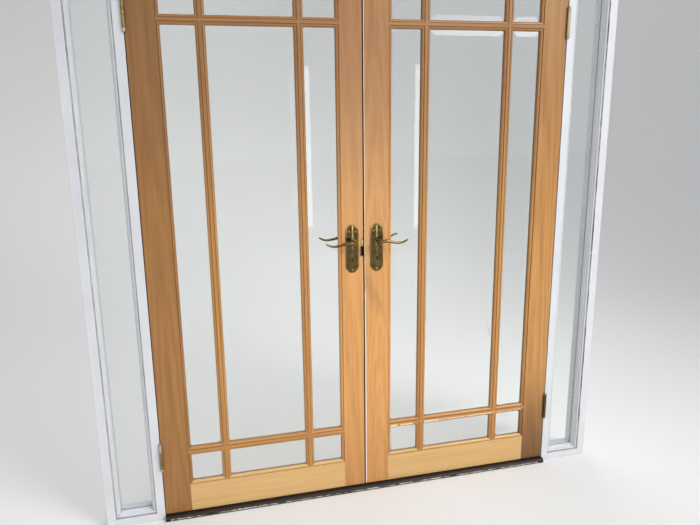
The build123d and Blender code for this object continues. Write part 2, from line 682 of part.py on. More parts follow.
def jamb():
    timber = block(JAMB_INNER, HALF_WIDTH, FACE, FRAME_BACK, 0, HEAD_BOTTOM) - sidelight_hollow()
    timber = eased(timber, [(HALF_WIDTH - FRAME_FACE, FACE), (HALF_WIDTH, FACE)])
    timber += frame_tenon(JAMB_INNER, HALF_WIDTH)
    fixing_y = (FACE + SIDE_GLASS_DEPTH + SIDE_GLASS_THICK + FRAME_BACK) / 2
    for height in (-FIXING_SPACING / 2, FIXING_SPACING / 2):
        timber -= rod(JAMB_INNER - 1, fixing_y, FIXING_CENTRE + height, FIXING_HOLE_R,
                      HALF_WIDTH - JAMB_INNER + 2, (1, 0, 0))
    return one_solid(timber)


def sidelight_sill():
    return one_solid(block(POST_OUTER, JAMB_INNER, FACE, FRAME_BACK, 0, SILL_TOP) - sidelight_hollow())


def head():
    timber = block(-HALF_WIDTH, HALF_WIDTH, FACE, FRAME_BACK, HEAD_BOTTOM, HEAD_TOP)
    hollow = sidelight_hollow()
    timber = timber - hollow - mirrored(hollow)
    for x1, x2 in ((HALF_OPENING, POST_OUTER), (JAMB_INNER, HALF_WIDTH)):
        socket = frame_tenon(x1, x2, TENON_PLAY)
        timber = timber - socket - mirrored(socket)
    timber -= rod(FLUSH_BOLT_X, FLUSH_BOLT_Y, HEAD_BOTTOM - 1, FLUSH_SOCKET_R, FLUSH_SOCKET_HEAD, (0, 0, 1))
    return one_solid(timber)


def threshold():
    """Hardwood board between the posts with a rounded nose in front of the frame."""
    board_blank = block(-HALF_OPENING, HALF_OPENING, FACE - THRESHOLD_NOSE, FRAME_BACK, 0, THRESHOLD_THICK)
    front = board_blank.edges().filter_by(Axis.X).group_by(Axis.Y)[0].sort_by(Axis.Z)
    nosed = fillet(front[-1], NOSE_R)
    nosed -= rod(FLUSH_BOLT_X, FLUSH_BOLT_Y, THRESHOLD_THICK - FLUSH_THROW, FLUSH_SOCKET_R, THRESHOLD_THICK,
                 (0, 0, 1))
    return one_solid(nosed)


def door_stops():
    """Planted strips that the leaves close against: one up each post and one along the head."""
    front = BACK + STOP_CLEAR
    side = block(HALF_OPENING - STOP_THICK, HALF_OPENING, front, FRAME_BACK, THRESHOLD_THICK, HEAD_BOTTOM)
    across = block(STOP_THICK - HALF_OPENING, HALF_OPENING - STOP_THICK, front, FRAME_BACK,
                   HEAD_BOTTOM - STOP_THICK, HEAD_BOTTOM)
    side = chamfer(side.edges().filter_by(Axis.Z).group_by(Axis.X)[0].group_by(Axis.Y)[0], STOP_CHAMFER)
    across = chamfer(across.edges().filter_by(Axis.X).group_by(Axis.Z)[0].group_by(Axis.Y)[0], STOP_CHAMFER)
    return [side, mirrored(side), across]


def sidelight_glass():
    front, cover = FACE + SIDE_GLASS_DEPTH, SIDE_GLASS_COVER
    return block(POST_OUTER - cover, JAMB_INNER + cover, front, front + SIDE_GLASS_THICK, SILL_TOP - cover,
                 HEAD_BOTTOM + cover)


def sidelight_beads():
    """Four mitred beads in front of the glass: a splay, a hollow, a round nose and a quirk."""
    cover = GLAZING_REBATE - BEAD_PLAY
    glass = FACE + SIDE_GLASS_DEPTH
    hollow = [(out, FACE + depth) for out, depth in (HOLLOW_START, HOLLOW_MIDDLE, HOLLOW_END)]
    inner, outer = NOSE_SIDES
    start = (0, glass)
    steps = [((0, glass - BEAD_FILLET),), (hollow[0],), (hollow[1], hollow[2]),
             ((inner, FACE + NOSE_SPRING),),
             (((inner + outer) / 2, FACE + NOSE_CREST), (outer, FACE + NOSE_SPRING)),
             ((outer, FACE + BEAD_QUIRK),), ((cover, FACE + BEAD_QUIRK),), ((cover, glass),), (start,)]
    return mitred_strips((POST_OUTER, JAMB_INNER), (SILL_TOP, HEAD_BOTTOM), cover, steps, start)


def open_mitre(beads):
    """The left sidelight's foot, where the bottom bead has shrunk away from the bead on the jamb."""
    x, z, foot = JAMB_INNER, SILL_TOP, SILL_TOP - GLAZING_REBATE
    far = x + GLAZING_REBATE + 1
    wedge = prism([(x, z + 1), (far, foot), (far - OPEN_MITRE_OUTER, foot), (x - OPEN_MITRE_INNER, z + 1)],
                  lambda a, b: (a, FACE, b), (0, 1, 0), FRAME_DEPTH)
    first, second, bottom, top = beads
    return [first, second, one_solid(bottom - wedge), top]


# Lock, keep and flush bolts
def forend_section(grow):
    """Stepped section of the brass forend, wrapped round the rebated edge."""
    thick = FOREND_THICK
    front = FOREND_FRONT - grow
    rear = FOREND_REAR + grow
    step = LIP_BACK - LIP_CLEAR
    outer, inner = LIP_EDGE, LIP_EDGE + MEETING_REBATE
    return [(outer, front), (outer, step), (inner, step), (inner, rear), (inner + thick + grow, rear),
            (inner + thick + grow, step - thick - grow), (outer + thick + grow, step - thick - grow),
            (outer + thick + grow, front)]


def forend_prism(grow=0.0):
    low, height = FOREND_BOTTOM - grow, FOREND_TOP - FOREND_BOTTOM + 2 * grow
    return prism(forend_section(grow), lambda x, y: (x, y, low), (0, 0, 1), height)


def bolt_channel(x1, x2, centre, height, play=CHANNEL_PLAY):
    half = BOLT_THICK / 2 + play
    return block(x1, x2, BOLT_CENTRE_Y - half, BOLT_CENTRE_Y + half, centre - height / 2 - play,
                 centre + height / 2 + play)


def forend():
    """Cranked plate that covers the stepped edge, open for both bolts."""
    plate = forend_prism()
    plate -= bolt_channel(LIP_EDGE - 1, LIP_EDGE + 5, LATCH_CENTRE, LATCH_HEIGHT, BOLT_PLAY)
    plate -= bolt_channel(LIP_EDGE - 1, LIP_EDGE + 5, DEAD_BOLT_CENTRE, DEAD_BOLT_HEIGHT, BOLT_PLAY)
    for place in forend_screw_places():
        plate -= screw_bore(*place, LOCK_SCREW_LENGTH, LOCK_SCREW)
    return one_solid(plate)


def forend_screw_places():
    return [(FOREND_SCREW_X, FOREND_SCREW_Y, z, (1, 0, 0)) for z in FOREND_SCREWS]


def lock_case():
    """Folded steel case, open inside, with holes for the bolts, the follower and the key."""
    x1, x2 = CASE_FRONT, CASE_FRONT + CASE_DEPTH
    case = block(x1, x2, CASE_Y1, CASE_Y2, CASE_BOTTOM, CASE_TOP)
    case -= block(x1 + CASE_WALL, x2 - CASE_WALL, CASE_Y1 + CASE_WALL, CASE_Y2 - CASE_WALL,
                  CASE_BOTTOM + CASE_WALL, CASE_TOP - CASE_WALL)
    case -= bolt_channel(x1 - 1, x1 + CASE_WALL + 1, LATCH_CENTRE, LATCH_HEIGHT, BOLT_PLAY)
    case -= bolt_channel(x1 - 1, x1 + CASE_WALL + 1, DEAD_BOLT_CENTRE, DEAD_BOLT_HEIGHT, BOLT_PLAY)
    case -= rod(RIGHT_SPINDLE_X, CASE_Y1 - 1, SPINDLE_HEIGHT, FOLLOWER_R + 0.05, CASE_THICK + 2, (0, 1, 0))
    case -= rod(RIGHT_SPINDLE_X, CASE_Y1 - 1, KEY_Z, KEYHOLE_R, CASE_THICK + 2, (0, 1, 0))
    case -= block(RIGHT_SPINDLE_X - KEY_SLOT, RIGHT_SPINDLE_X + KEY_SLOT, CASE_Y1 - 1, CASE_Y2 + 1,
                  KEY_Z - KEY_DROP, KEY_Z)
    return one_solid(case)


def follower():
    """Turned hub in the case with a square hole for the spindle and an arm that draws the latch."""
    hub = rod(RIGHT_SPINDLE_X, CASE_Y1, SPINDLE_HEIGHT, FOLLOWER_R, CASE_THICK, (0, 1, 0))
    half = LATCH_TAIL_THICK / 2
    arm = block(RIGHT_SPINDLE_X - ARM_HALF, RIGHT_SPINDLE_X + ARM_HALF, BOLT_CENTRE_Y - half,
                BOLT_CENTRE_Y + half, SPINDLE_HEIGHT, SPINDLE_HEIGHT + ARM_REACH)
    half = SPINDLE_SIZE / 2 + 0.1
    hole = block(RIGHT_SPINDLE_X - half, RIGHT_SPINDLE_X + half, CASE_Y1 - 1, CASE_Y2 + 1,
                 SPINDLE_HEIGHT - half, SPINDLE_HEIGHT + half)
    return one_solid(hub + arm - hole)


def latch_bolt():
    """Bevelled nose, flat stem over the follower and a lug that the follower's arm pushes back."""
    nose_end = LIP_EDGE - LATCH_THROW
    low, high = LATCH_CENTRE - LATCH_HEIGHT / 2, LATCH_CENTRE + LATCH_HEIGHT / 2
    y1, y2 = BOLT_CENTRE_Y - BOLT_THICK / 2, BOLT_CENTRE_Y + BOLT_THICK / 2
    heel = CASE_FRONT + LATCH_HEEL
    nose = prism([(nose_end, y1), (nose_end, y1 + LATCH_BLUNT), (LIP_EDGE, y2), (heel, y2), (heel, y1)],
                 lambda x, y: (x, y, low), (0, 0, 1), high - low)
    half = LATCH_TAIL_THICK / 2
    stem_low = SPINDLE_HEIGHT + ARM_REACH + 1.0
    lug_x = RIGHT_SPINDLE_X + ARM_HALF + 0.1
    stem_high = stem_low + LATCH_TAIL_HEIGHT
    stem = block(heel - 3, lug_x + LUG_THICK, BOLT_CENTRE_Y - half, BOLT_CENTRE_Y + half, stem_low, stem_high)
    riser = block(heel - 5, heel, BOLT_CENTRE_Y - half, BOLT_CENTRE_Y + half, LATCH_CENTRE, stem_high)
    lug = block(lug_x, lug_x + LUG_THICK, BOLT_CENTRE_Y - half, BOLT_CENTRE_Y + half,
                SPINDLE_HEIGHT + FOLLOWER_R + 0.6, stem_low + 1)
    return one_solid(nose + stem + riser + lug)


def dead_bolt():
    """Plain bolt, drawn back, with the gated stump that the key carries across."""
    x1 = LIP_EDGE + DEAD_BOLT_SHY
    x2 = CASE_FRONT + DEAD_BOLT_TAIL
    y1, y2 = BOLT_CENTRE_Y - BOLT_THICK / 2, BOLT_CENTRE_Y + BOLT_THICK / 2
    low, high = DEAD_BOLT_CENTRE - DEAD_BOLT_HEIGHT / 2, DEAD_BOLT_CENTRE + DEAD_BOLT_HEIGHT / 2
    bolt = block(x1, x2, y1, y2, low, high)
    talon = block(x2 - 6, x2 + TALON_LENGTH, BOLT_CENTRE_Y - 2, BOLT_CENTRE_Y + 2, low, low + 9)
    talon -= block(x2 + 2, x2 + 9, y1, y2, low - 1, low + 5)
    return one_solid(bolt + talon)


def strike_screw_places():
    return [(STRIKE_X, STRIKE_SCREW_Y, z, (-1, 0, 0)) for z in STRIKE_SCREWS]


def strike_plate():
    """Keep in the left leaf: a plate in the edge and a lip turned round the front arris at the latch."""
    plate = block(STRIKE_X - STRIKE_THICK, STRIKE_X, STRIKE_FRONT, STRIKE_REAR, STRIKE_BOTTOM, STRIKE_TOP)
    lip = block(STRIKE_X - LIP_REACH, STRIKE_X, FACE, STRIKE_FRONT, LIP_LOW, LIP_HIGH)
    lip = fillet(lip.edges().filter_by(Axis.Y).sort_by(Axis.X)[:2], LIP_CORNER_R)
    lip = fillet(lip.edges().filter_by(Axis.Z).sort_by(Axis.X)[-2:].sort_by(Axis.Y)[0], LIP_ARRIS_R)
    strike = plate + lip
    strike -= bolt_channel(STRIKE_X - 5, STRIKE_X + 1, LATCH_CENTRE, LATCH_HEIGHT, 0.8)
    strike -= broken_notch(5.0)
    for place in strike_screw_places():
        strike -= screw_bore(*place, LOCK_SCREW_LENGTH, LOCK_SCREW)
    return one_solid(strike)


def broken_notch(depth):
    """The place in front of the dead bolt where plate and timber have broken out."""
    return block(STRIKE_X - depth, STRIKE_X + 1, FACE - 1, BOLT_CENTRE_Y + BOLT_THICK / 2 + 0.8, NOTCH_LOW,
                 NOTCH_HIGH)


def strike_housing():
    """What is cut from the left leaf's edge for the keep, with the front broken out at the dead bolt."""
    recess = block(STRIKE_X - STRIKE_THICK, STRIKE_X + 1, STRIKE_FRONT, STRIKE_REAR, STRIKE_BOTTOM,
                   STRIKE_TOP)
    recess += block(STRIKE_X - LIP_REACH - 1.6, STRIKE_X + 1, FACE - 1, STRIKE_FRONT, LIP_LOW - 2.5,
                    LIP_HIGH + 2.0)
    recess += bolt_channel(STRIKE_X - POCKET_DEPTH, STRIKE_X, LATCH_CENTRE, LATCH_HEIGHT, 1.0)
    recess += bolt_channel(STRIKE_X - POCKET_DEPTH, STRIKE_X, DEAD_BOLT_CENTRE, DEAD_BOLT_HEIGHT, 1.0)
    recess += broken_notch(NOTCH_DEPTH)
    for place in strike_screw_places():
        recess += screw_bore(*place, LOCK_SCREW_LENGTH, LOCK_SCREW)
    return recess


def flush_plate(upper):
    """Long plate in the edge with a slot for the thumb slide."""
    low, high = flush_plate_span(upper)
    plate = block(STRIKE_X - STRIKE_THICK, STRIKE_X, FLUSH_BOLT_Y - FLUSH_PLATE_HALF,
                  FLUSH_BOLT_Y + FLUSH_PLATE_HALF, low, high)
    plate -= block(STRIKE_X - 5, STRIKE_X + 1, FLUSH_BOLT_Y - 4.0, FLUSH_BOLT_Y + 4.0, *flush_slot(upper))
    for place in flush_screw_places(upper):
        plate -= screw_bore(*place, FLUSH_SCREW, SMALL_SCREW)
    return one_solid(plate)


def flush_plate_span(upper):
    if upper:
        return LEAF_TOP - FLUSH_FROM_END - FLUSH_PLATE_HEIGHT, LEAF_TOP - FLUSH_FROM_END
    return UNDER_LEAF + FLUSH_FROM_END, UNDER_LEAF + FLUSH_FROM_END + FLUSH_PLATE_HEIGHT


def flush_slot(upper):
    """The slide stands at the inner end of its slot when the bolt is drawn."""
    low, high = flush_plate_span(upper)
    length = FLUSH_THROW + FLUSH_SLIDE + 1
    if upper:
        return low + FLUSH_SLOT_INSET, low + FLUSH_SLOT_INSET + length
    return high - FLUSH_SLOT_INSET - length, high - FLUSH_SLOT_INSET


def flush_screw_places(upper):
    low, high = flush_plate_span(upper)
    heights = (low + FLUSH_SCREW_INSET, high - FLUSH_SCREW_INSET)
    return [(STRIKE_X, FLUSH_BOLT_Y, z, (-1, 0, 0)) for z in heights]


def flush_bolt(upper):
    """Round bolt with a squared block and a thumb slide in the plate's slot."""
    slot_low, slot_high = flush_slot(upper)
    inner = slot_low + 0.5 if upper else slot_high - 0.5 - FLUSH_SLIDE
    slide = block(STRIKE_X - 6.5, STRIKE_X - 0.4, FLUSH_BOLT_Y - 3.7, FLUSH_BOLT_Y + 3.7, inner,
                  inner + FLUSH_SLIDE)
    carrier = block(FLUSH_BOLT_X - 4, STRIKE_X - STRIKE_THICK - 0.4, FLUSH_BOLT_Y - 4, FLUSH_BOLT_Y + 4,
                    inner, inner + FLUSH_SLIDE)
    if upper:
        bar = rod(FLUSH_BOLT_X, FLUSH_BOLT_Y, inner, FLUSH_ROD_R, LEAF_TOP - 1.0 - inner, (0, 0, 1))
    else:
        bar = rod(FLUSH_BOLT_X, FLUSH_BOLT_Y, UNDER_LEAF + 1.0, FLUSH_ROD_R,
                  inner + FLUSH_SLIDE - UNDER_LEAF - 1.0, (0, 0, 1))
    return one_solid(carrier + slide + bar)


def flush_housing(upper):
    """What is cut from the left leaf's edge for a flush bolt, its plate and its screws."""
    low, high = flush_plate_span(upper)
    slot_low, slot_high = flush_slot(upper)
    half = FLUSH_HOUSING_HALF
    recess = block(STRIKE_X - STRIKE_THICK, STRIKE_X + 1, FLUSH_BOLT_Y - FLUSH_PLATE_HALF,
                   FLUSH_BOLT_Y + FLUSH_PLATE_HALF, low, high)
    recess += block(FLUSH_BOLT_X - half, STRIKE_X, FLUSH_BOLT_Y - half, FLUSH_BOLT_Y + half, slot_low - 1,
                    slot_high + 1)
    end = LEAF_TOP + 1 if upper else UNDER_LEAF - 1
    start = slot_low if upper else slot_high
    recess += block(FLUSH_BOLT_X - half, FLUSH_BOLT_X + half, FLUSH_BOLT_Y - half, FLUSH_BOLT_Y + half,
                    min(start, end), max(start, end))
    for place in flush_screw_places(upper):
        recess += screw_bore(*place, FLUSH_SCREW, SMALL_SCREW)
    return recess


def chewed(bar):
    """The right leaf's lower cross bar with its front arris scooped out."""
    low = UNDER_LEAF + CROSS_BARS[0][0] + MOULDING
    for place, depth, length in CHEW_MARKS:
        gouge = scale(Sphere(1), (length / 2, depth * 0.6, depth))
        bar -= Pos(LIP_EDGE + place, FACE, low) * Rot(20, 0, 0) * gouge
    return one_solid(bar)


def planed(stile):
    """The bare arris that was planed off the lower part of the meeting edge."""
    low, high = UNDER_LEAF, PLANED_TOP
    edge, inner = LIP_EDGE, LIP_EDGE + PLANED_WIDTH
    front, bottom = FACE - 1, FACE + PLANED_DEPTH
    wedge = prism([(edge - 1, front), (inner, front), (inner, FACE), (edge, bottom), (edge - 1, bottom)],
                  lambda x, y: (x, y, low - 1), (0, 0, 1), high - low)
    return one_solid(stile - wedge)


def save(name, solids):
    """Writes one node, as a group where like pieces share it."""
    pieces = solids if isinstance(solids, list) else [solids]
    pieces = [one_solid(piece) for piece in pieces]
    shape = pieces[0] if len(pieces) == 1 else Compound(children=pieces)
    export_step(shape, f"parts/{name}.step")


def make_frame():
    right = {"post": post(), "jamb": jamb(), "sidelight_sill": sidelight_sill(),
             "sidelight_glass": sidelight_glass(), "sidelight_beads": sidelight_beads()}
    for name, piece in right.items():
        pieces = piece if isinstance(piece, list) else [piece]
        save(f"{name}_right", pieces)
        if name == "sidelight_beads":
            pieces = open_mitre(pieces)
        save(f"{name}_left", [mirrored(item) for item in pieces])
    save("head", head())
    save("threshold", threshold())
    save("door_stops", door_stops())


def make_hinges():
    frame_screws = []
    for name, side in (("left", -1), ("right", 1)):
        save(f"hinge_frame_plates_{name}", [hinge_plate(side, centre, True) for centre in HINGE_CENTRES])
        save(f"hinge_leaf_plates_{name}", [hinge_plate(side, centre, False) for centre in HINGE_CENTRES])
        save(f"hinge_pins_{name}", [hinge_pin(side, centre) for centre in HINGE_CENTRES])
        leaf_screws = []
        for centre in HINGE_CENTRES:
            frame_screws += hinge_screws(side, centre, True)
            leaf_screws += hinge_screws(side, centre, False)
        save(f"hinge_screws_leaf_{name}", leaf_screws)
    save("hinge_screws_frame", frame_screws)


def handle_bores(x, with_key):
    """Holes through a meeting stile for the handle screws, the spindle and the key."""
    bores = [rod(x, FACE - 1, SPINDLE_HEIGHT, SPINDLE_ROOM_R, LEAF_THICK + 2, (0, 1, 0))]
    if with_key:
        half = KEY_SLOT + 0.6
        bores.append(rod(x, FACE - 1, KEY_Z, KEYHOLE_R + 0.6, LEAF_THICK + 2, (0, 1, 0)))
        bores.append(block(x - half, x + half, FACE - 1, BACK + 1, KEY_Z - KEY_DROP - 1, KEY_Z))
    for front in (True, False):
        for dx, dz in PLATE_SCREWS:
            bore = screw_bore(dx, dz, plate_height(dx, dz), (0, 0, -1), HANDLE_SCREW)
            bores.append(on_leaf_face(bore, x, PLATE_CENTRE, front))
    return bores


def make_handle_set(name, side, x):
    """Front and back plate and lever of one leaf, with the spindle and the plates' screws."""
    plate = handle_plate()
    cast = lever()
    screws = []
    for place, front in (("front", True), ("back", False)):
        arm_right = (side > 0) == front
        turned = cast if arm_right else mirrored(cast)
        save(f"{name}_plate_{place}", on_leaf_face(plate, x, PLATE_CENTRE, front))
        save(f"{name}_lever_{place}", on_leaf_face(turned, x, SPINDLE_HEIGHT, front))
        for dx, dz in PLATE_SCREWS:
            screw = countersunk_screw(dx, dz, plate_height(dx, dz), (0, 0, -1), HANDLE_SCREW)
            screws.append(on_leaf_face(screw, x, PLATE_CENTRE, front))
    save(f"{name}_spindle", spindle(x))
    return screws


def make_leaf(name, side):
    """Timbers, panes and beads of one leaf, then what its stiles are cut for."""
    members = leaf_members()
    hung = {}
    for part_name, piece in members.items():
        pieces = piece if isinstance(piece, list) else [piece]
        hung[part_name] = [place_leaf(item, side) for item in pieces]

    hinge_stile = hung["hinge_stile"][0]
    for centre in HINGE_CENTRES:
        hinge_stile -= hinge_recess(side, centre, False)
        for bore in hinge_bores(side, centre, False):
            hinge_stile -= bore
    meeting_stile = hung["meeting_stile"][0]
    if side < 0:
        front = LIP_BACK + LIP_CLEAR
        meeting_stile -= block(LIP_EDGE - GAP, TONGUE_EDGE + 1, FACE - 1, front, 0, LEAF_TOP + 1)
        meeting_stile = eased(meeting_stile, [(LIP_EDGE - GAP, FACE), (TONGUE_EDGE, front)])
        tools = [strike_housing(), flush_housing(True), flush_housing(False)]
        tools += handle_bores(LEFT_SPINDLE_X, False)
    else:
        rear = LIP_BACK - LIP_CLEAR
        meeting_stile -= block(LIP_EDGE - 1, TONGUE_EDGE + GAP, rear, BACK + 1, 0, LEAF_TOP + 1)
        meeting_stile = eased(meeting_stile, [(LIP_EDGE, rear), (TONGUE_EDGE + GAP, BACK)])
        case_room = block(CASE_FRONT - 0.2, CASE_FRONT + CASE_DEPTH + 0.5, CASE_Y1 - 0.2, CASE_Y2 + 0.2,
                          CASE_BOTTOM - 0.5, CASE_TOP + 0.5)
        tools = [case_room, forend_prism(0.05)]
        tools.append(bolt_channel(LIP_EDGE, CASE_FRONT, LATCH_CENTRE, LATCH_HEIGHT))
        tools.append(bolt_channel(LIP_EDGE, CASE_FRONT, DEAD_BOLT_CENTRE, DEAD_BOLT_HEIGHT))
        tools += [screw_bore(*place, LOCK_SCREW_LENGTH, LOCK_SCREW) for place in forend_screw_places()]
        tools += handle_bores(RIGHT_SPINDLE_X, True)
    for tool in tools:
        meeting_stile -= tool
    if side > 0:
        meeting_stile = planed(meeting_stile)
        hung["cross_bars"][0] = chewed(hung["cross_bars"][0])
    hung["hinge_stile"] = [hinge_stile]
    hung["meeting_stile"] = [meeting_stile]
    for part_name, pieces in hung.items():
        save(f"{name}_{part_name}", pieces)
    panes = [bevelled_pane(column, row) for row in ROWS for column in COLUMNS]
    save(f"{name}_panes", [place_leaf(pane, side) for pane in panes])
    beads = [bead for row in ROWS for column in COLUMNS for bead in back_beads(column, row)]
    save(f"{name}_glazing_beads", [place_leaf(bead, side) for bead in beads])


def make_lock(screws):
    save("lock_case", lock_case())
    save("lock_forend", forend())
    save("lock_follower", follower())
    save("latch_bolt", latch_bolt())
    save("dead_bolt", dead_bolt())
    screws += [countersunk_screw(*place, LOCK_SCREW_LENGTH, LOCK_SCREW) for place in forend_screw_places()]
    save("right_leaf_screws", screws)


def make_keep(screws):
    save("strike_plate", strike_plate())
    save("flush_bolt_plates", [flush_plate(False), flush_plate(True)])
    save("flush_bolt_bottom", flush_bolt(False))
    save("flush_bolt_top", flush_bolt(True))
    screws += [countersunk_screw(*place, LOCK_SCREW_LENGTH, LOCK_SCREW) for place in strike_screw_places()]
    for upper in (False, True):
        screws += [countersunk_screw(*place, FLUSH_SCREW, SMALL_SCREW) for place in flush_screw_places(upper)]
    save("left_leaf_screws", screws)


os.makedirs("parts", exist_ok=True)
make_frame()
make_hinges()
make_leaf("left", -1)
make_leaf("right", 1)
make_lock(make_handle_set("right", 1, RIGHT_SPINDLE_X))
make_keep(make_handle_set("left", -1, LEFT_SPINDLE_X))
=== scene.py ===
import math

import bmesh
import bpy
from mathutils import Matrix, Vector


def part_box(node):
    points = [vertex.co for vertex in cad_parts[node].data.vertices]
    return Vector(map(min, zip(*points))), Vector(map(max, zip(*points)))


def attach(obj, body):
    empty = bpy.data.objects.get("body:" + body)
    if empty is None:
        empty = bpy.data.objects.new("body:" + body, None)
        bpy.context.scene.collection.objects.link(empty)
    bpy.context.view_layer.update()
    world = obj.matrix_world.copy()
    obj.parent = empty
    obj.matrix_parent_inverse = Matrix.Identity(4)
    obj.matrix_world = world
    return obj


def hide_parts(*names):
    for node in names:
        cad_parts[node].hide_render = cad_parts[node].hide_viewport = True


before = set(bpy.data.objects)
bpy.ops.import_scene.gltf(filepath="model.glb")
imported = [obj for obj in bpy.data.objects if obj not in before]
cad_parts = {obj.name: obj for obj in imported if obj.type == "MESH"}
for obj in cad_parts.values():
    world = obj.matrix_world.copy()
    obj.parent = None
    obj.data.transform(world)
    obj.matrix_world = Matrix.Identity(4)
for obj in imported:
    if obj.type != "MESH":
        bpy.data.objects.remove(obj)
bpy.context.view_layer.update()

MM = 0.001

# Studio: a pale card sweep under and behind the doors, a lamp with a grid high on the right, a tall strip
# behind the camera, a low fill on the left and a gridded lamp high at the back. The camera stands where the
# photograph was taken.
CAMERA_PLACE = Vector((-0.6186, -2.2108, 1.4509))
CAMERA_YAW = math.radians(14.341)
CAMERA_PITCH = math.radians(13.402)
CAMERA_ROLL = math.radians(-0.665)
FOCAL_PIXELS = 650.23
PHOTO_WIDTH = 700
SWEEP_HALF = 12.0
SWEEP_FRONT = -16.0
SWEEP_BACK = 3.4
SWEEP_TOP = 6.0
SWEEP_BEND = 1.6
SWEEP_BEND_STEPS = 12
SWEEP_DROP = 0.5 * MM
CARD_GLOW = 0.14
SKY_ON_DOORS, SKY_SEEN = 0.50, 0.85


def srgb(hexa):
    """A hex colour as Blender's linear RGBA."""
    channels = [int(hexa[i:i + 2], 16) / 255 for i in (1, 3, 5)]
    return tuple(c / 12.92 if c <= 0.04045 else ((c + 0.055) / 1.055) ** 2.4 for c in channels) + (1.0,)


def add(tree, kind, inputs=None, stops=(), **settings):
    """Adds a node: sets its options, fills its sockets with values, nodes or sockets (a list where one socket
    takes several) and gives it its colour stops, each a place and a hex colour."""
    made = tree.nodes.new(kind)
    for name, value in settings.items():
        setattr(made, name, value)
    for key, value in (inputs or {}).items():
        for source in value if isinstance(value, list) else [value]:
            if isinstance(source, bpy.types.Node):
                source = source.outputs[0]
            if isinstance(source, bpy.types.NodeSocket):
                tree.links.new(source, made.inputs[key])
            else:
                made.inputs[key].default_value = source
    for index, (place, hexa) in enumerate(stops):
        band = made.color_ramp.elements
        if index >= len(band):
            band.new(place)
        band[index].position = place
        band[index].color = srgb(hexa)
    return made


def new_material(name):
    """An empty material with its output, to be built from the nodes up."""
    made = bpy.data.materials.new(name)
    made.use_nodes = True
    made.node_tree.nodes.clear()
    return made, made.node_tree


def mesh_object(name, points, faces=(), edges=()):
    """A mesh piece with its place in its own vertices."""
    mesh = bpy.data.meshes.new(name)
    mesh.from_pydata(points, edges, faces)
    mesh.update()
    made = bpy.data.objects.new(name, mesh)
    bpy.context.scene.collection.objects.link(made)
    return made


def looked_at(tree, unseen, seen):
    """One strength for rays that light the doors, another for what the camera, metal or glass looks at."""
    ray = add(tree, "ShaderNodeLightPath").outputs
    direct = add(tree, "ShaderNodeMath", {0: ray["Is Camera Ray"], 1: ray["Is Glossy Ray"]},
                 operation="MAXIMUM")
    direct = add(tree, "ShaderNodeMath", {0: direct, 1: ray["Is Transmission Ray"]}, operation="MAXIMUM")
    return add(tree, "ShaderNodeMapRange", {"Value": direct, "To Min": unseen, "To Max": seen})


def studio_paper():
    """Matt card, pale and even, with no shine of its own; it looks a little paler than the light on it."""
    made, tree = new_material("matt_studio_card")
    card = add(tree, "ShaderNodeBsdfPrincipled",
               {"Base Color": srgb("#E6E5E2"), "Roughness": 0.9, "Emission Color": srgb("#F0F3F8"),
                "Emission Strength": looked_at(tree, 0.0, CARD_GLOW)})
    add(tree, "ShaderNodeOutputMaterial", {"Surface": card})
    return made


def studio_sweep():
    """Floor and backdrop in one sheet with a wide bend between them."""
    line = [(SWEEP_FRONT, 0.0), (SWEEP_BACK - SWEEP_BEND, 0.0)]
    for step in range(1, SWEEP_BEND_STEPS + 1):
        turn = math.pi / 2 * step / SWEEP_BEND_STEPS
        behind = SWEEP_BACK - SWEEP_BEND + SWEEP_BEND * math.sin(turn)
        line.append((behind, SWEEP_BEND - SWEEP_BEND * math.cos(turn)))
    line.append((SWEEP_BACK, SWEEP_TOP))
    points = [(x, y, z - SWEEP_DROP) for y, z in line for x in (-SWEEP_HALF, SWEEP_HALF)]
    faces = [(2 * i, 2 * i + 1, 2 * i + 3, 2 * i + 2) for i in range(len(line) - 1)]
    made = mesh_object("studio_sweep", points, faces)
    for face in made.data.polygons:
        face.use_smooth = True
    made.data.materials.append(studio_paper())


def lamp(name, place, aim, size, power, spread=180.0):
    """A soft box; a spread below 180 degrees puts a grid on it, so that its light falls in a pool."""
    light = bpy.data.lights.new(name, "AREA")
    light.shape = "RECTANGLE"
    light.size, light.size_y = size
    light.energy = power
    light.spread = math.radians(spread)
    made = bpy.data.objects.new(name, light)
    made.location = place
    made.rotation_euler = (Vector(aim) - Vector(place)).to_track_quat("-Z", "Y").to_euler()
    bpy.context.scene.collection.objects.link(made)


def studio_world():
    """Pale air: a dim light on the doors, and paler where the camera, metal or glass looks straight at it."""
    world = bpy.data.worlds.new("studio_air")
    world.use_nodes = True
    tree = world.node_tree
    tree.nodes.clear()
    sky = add(tree, "ShaderNodeBackground",
              {"Color": srgb("#F0F3F8"), "Strength": looked_at(tree, SKY_ON_DOORS, SKY_SEEN)})
    add(tree, "ShaderNodeOutputWorld", {"Surface": sky})
    bpy.context.scene.world = world


def studio_camera():
    """Yaw to the right of +Y, then pitch down, then roll about the view."""
    lens = bpy.data.cameras.new("camera")
    lens.sensor_width = 36.0
    lens.lens = FOCAL_PIXELS / PHOTO_WIDTH * lens.sensor_width
    lens.clip_start, lens.clip_end = 0.05, 60.0
    made = bpy.data.objects.new("camera", lens)
    turn = Matrix.Rotation(-CAMERA_YAW, 4, "Z") @ Matrix.Rotation(math.pi / 2 - CAMERA_PITCH, 4, "X")
    made.matrix_world = Matrix.Translation(CAMERA_PLACE) @ turn @ Matrix.Rotation(CAMERA_ROLL, 4, "Z")
    bpy.context.scene.collection.objects.link(made)
    bpy.context.scene.camera = made


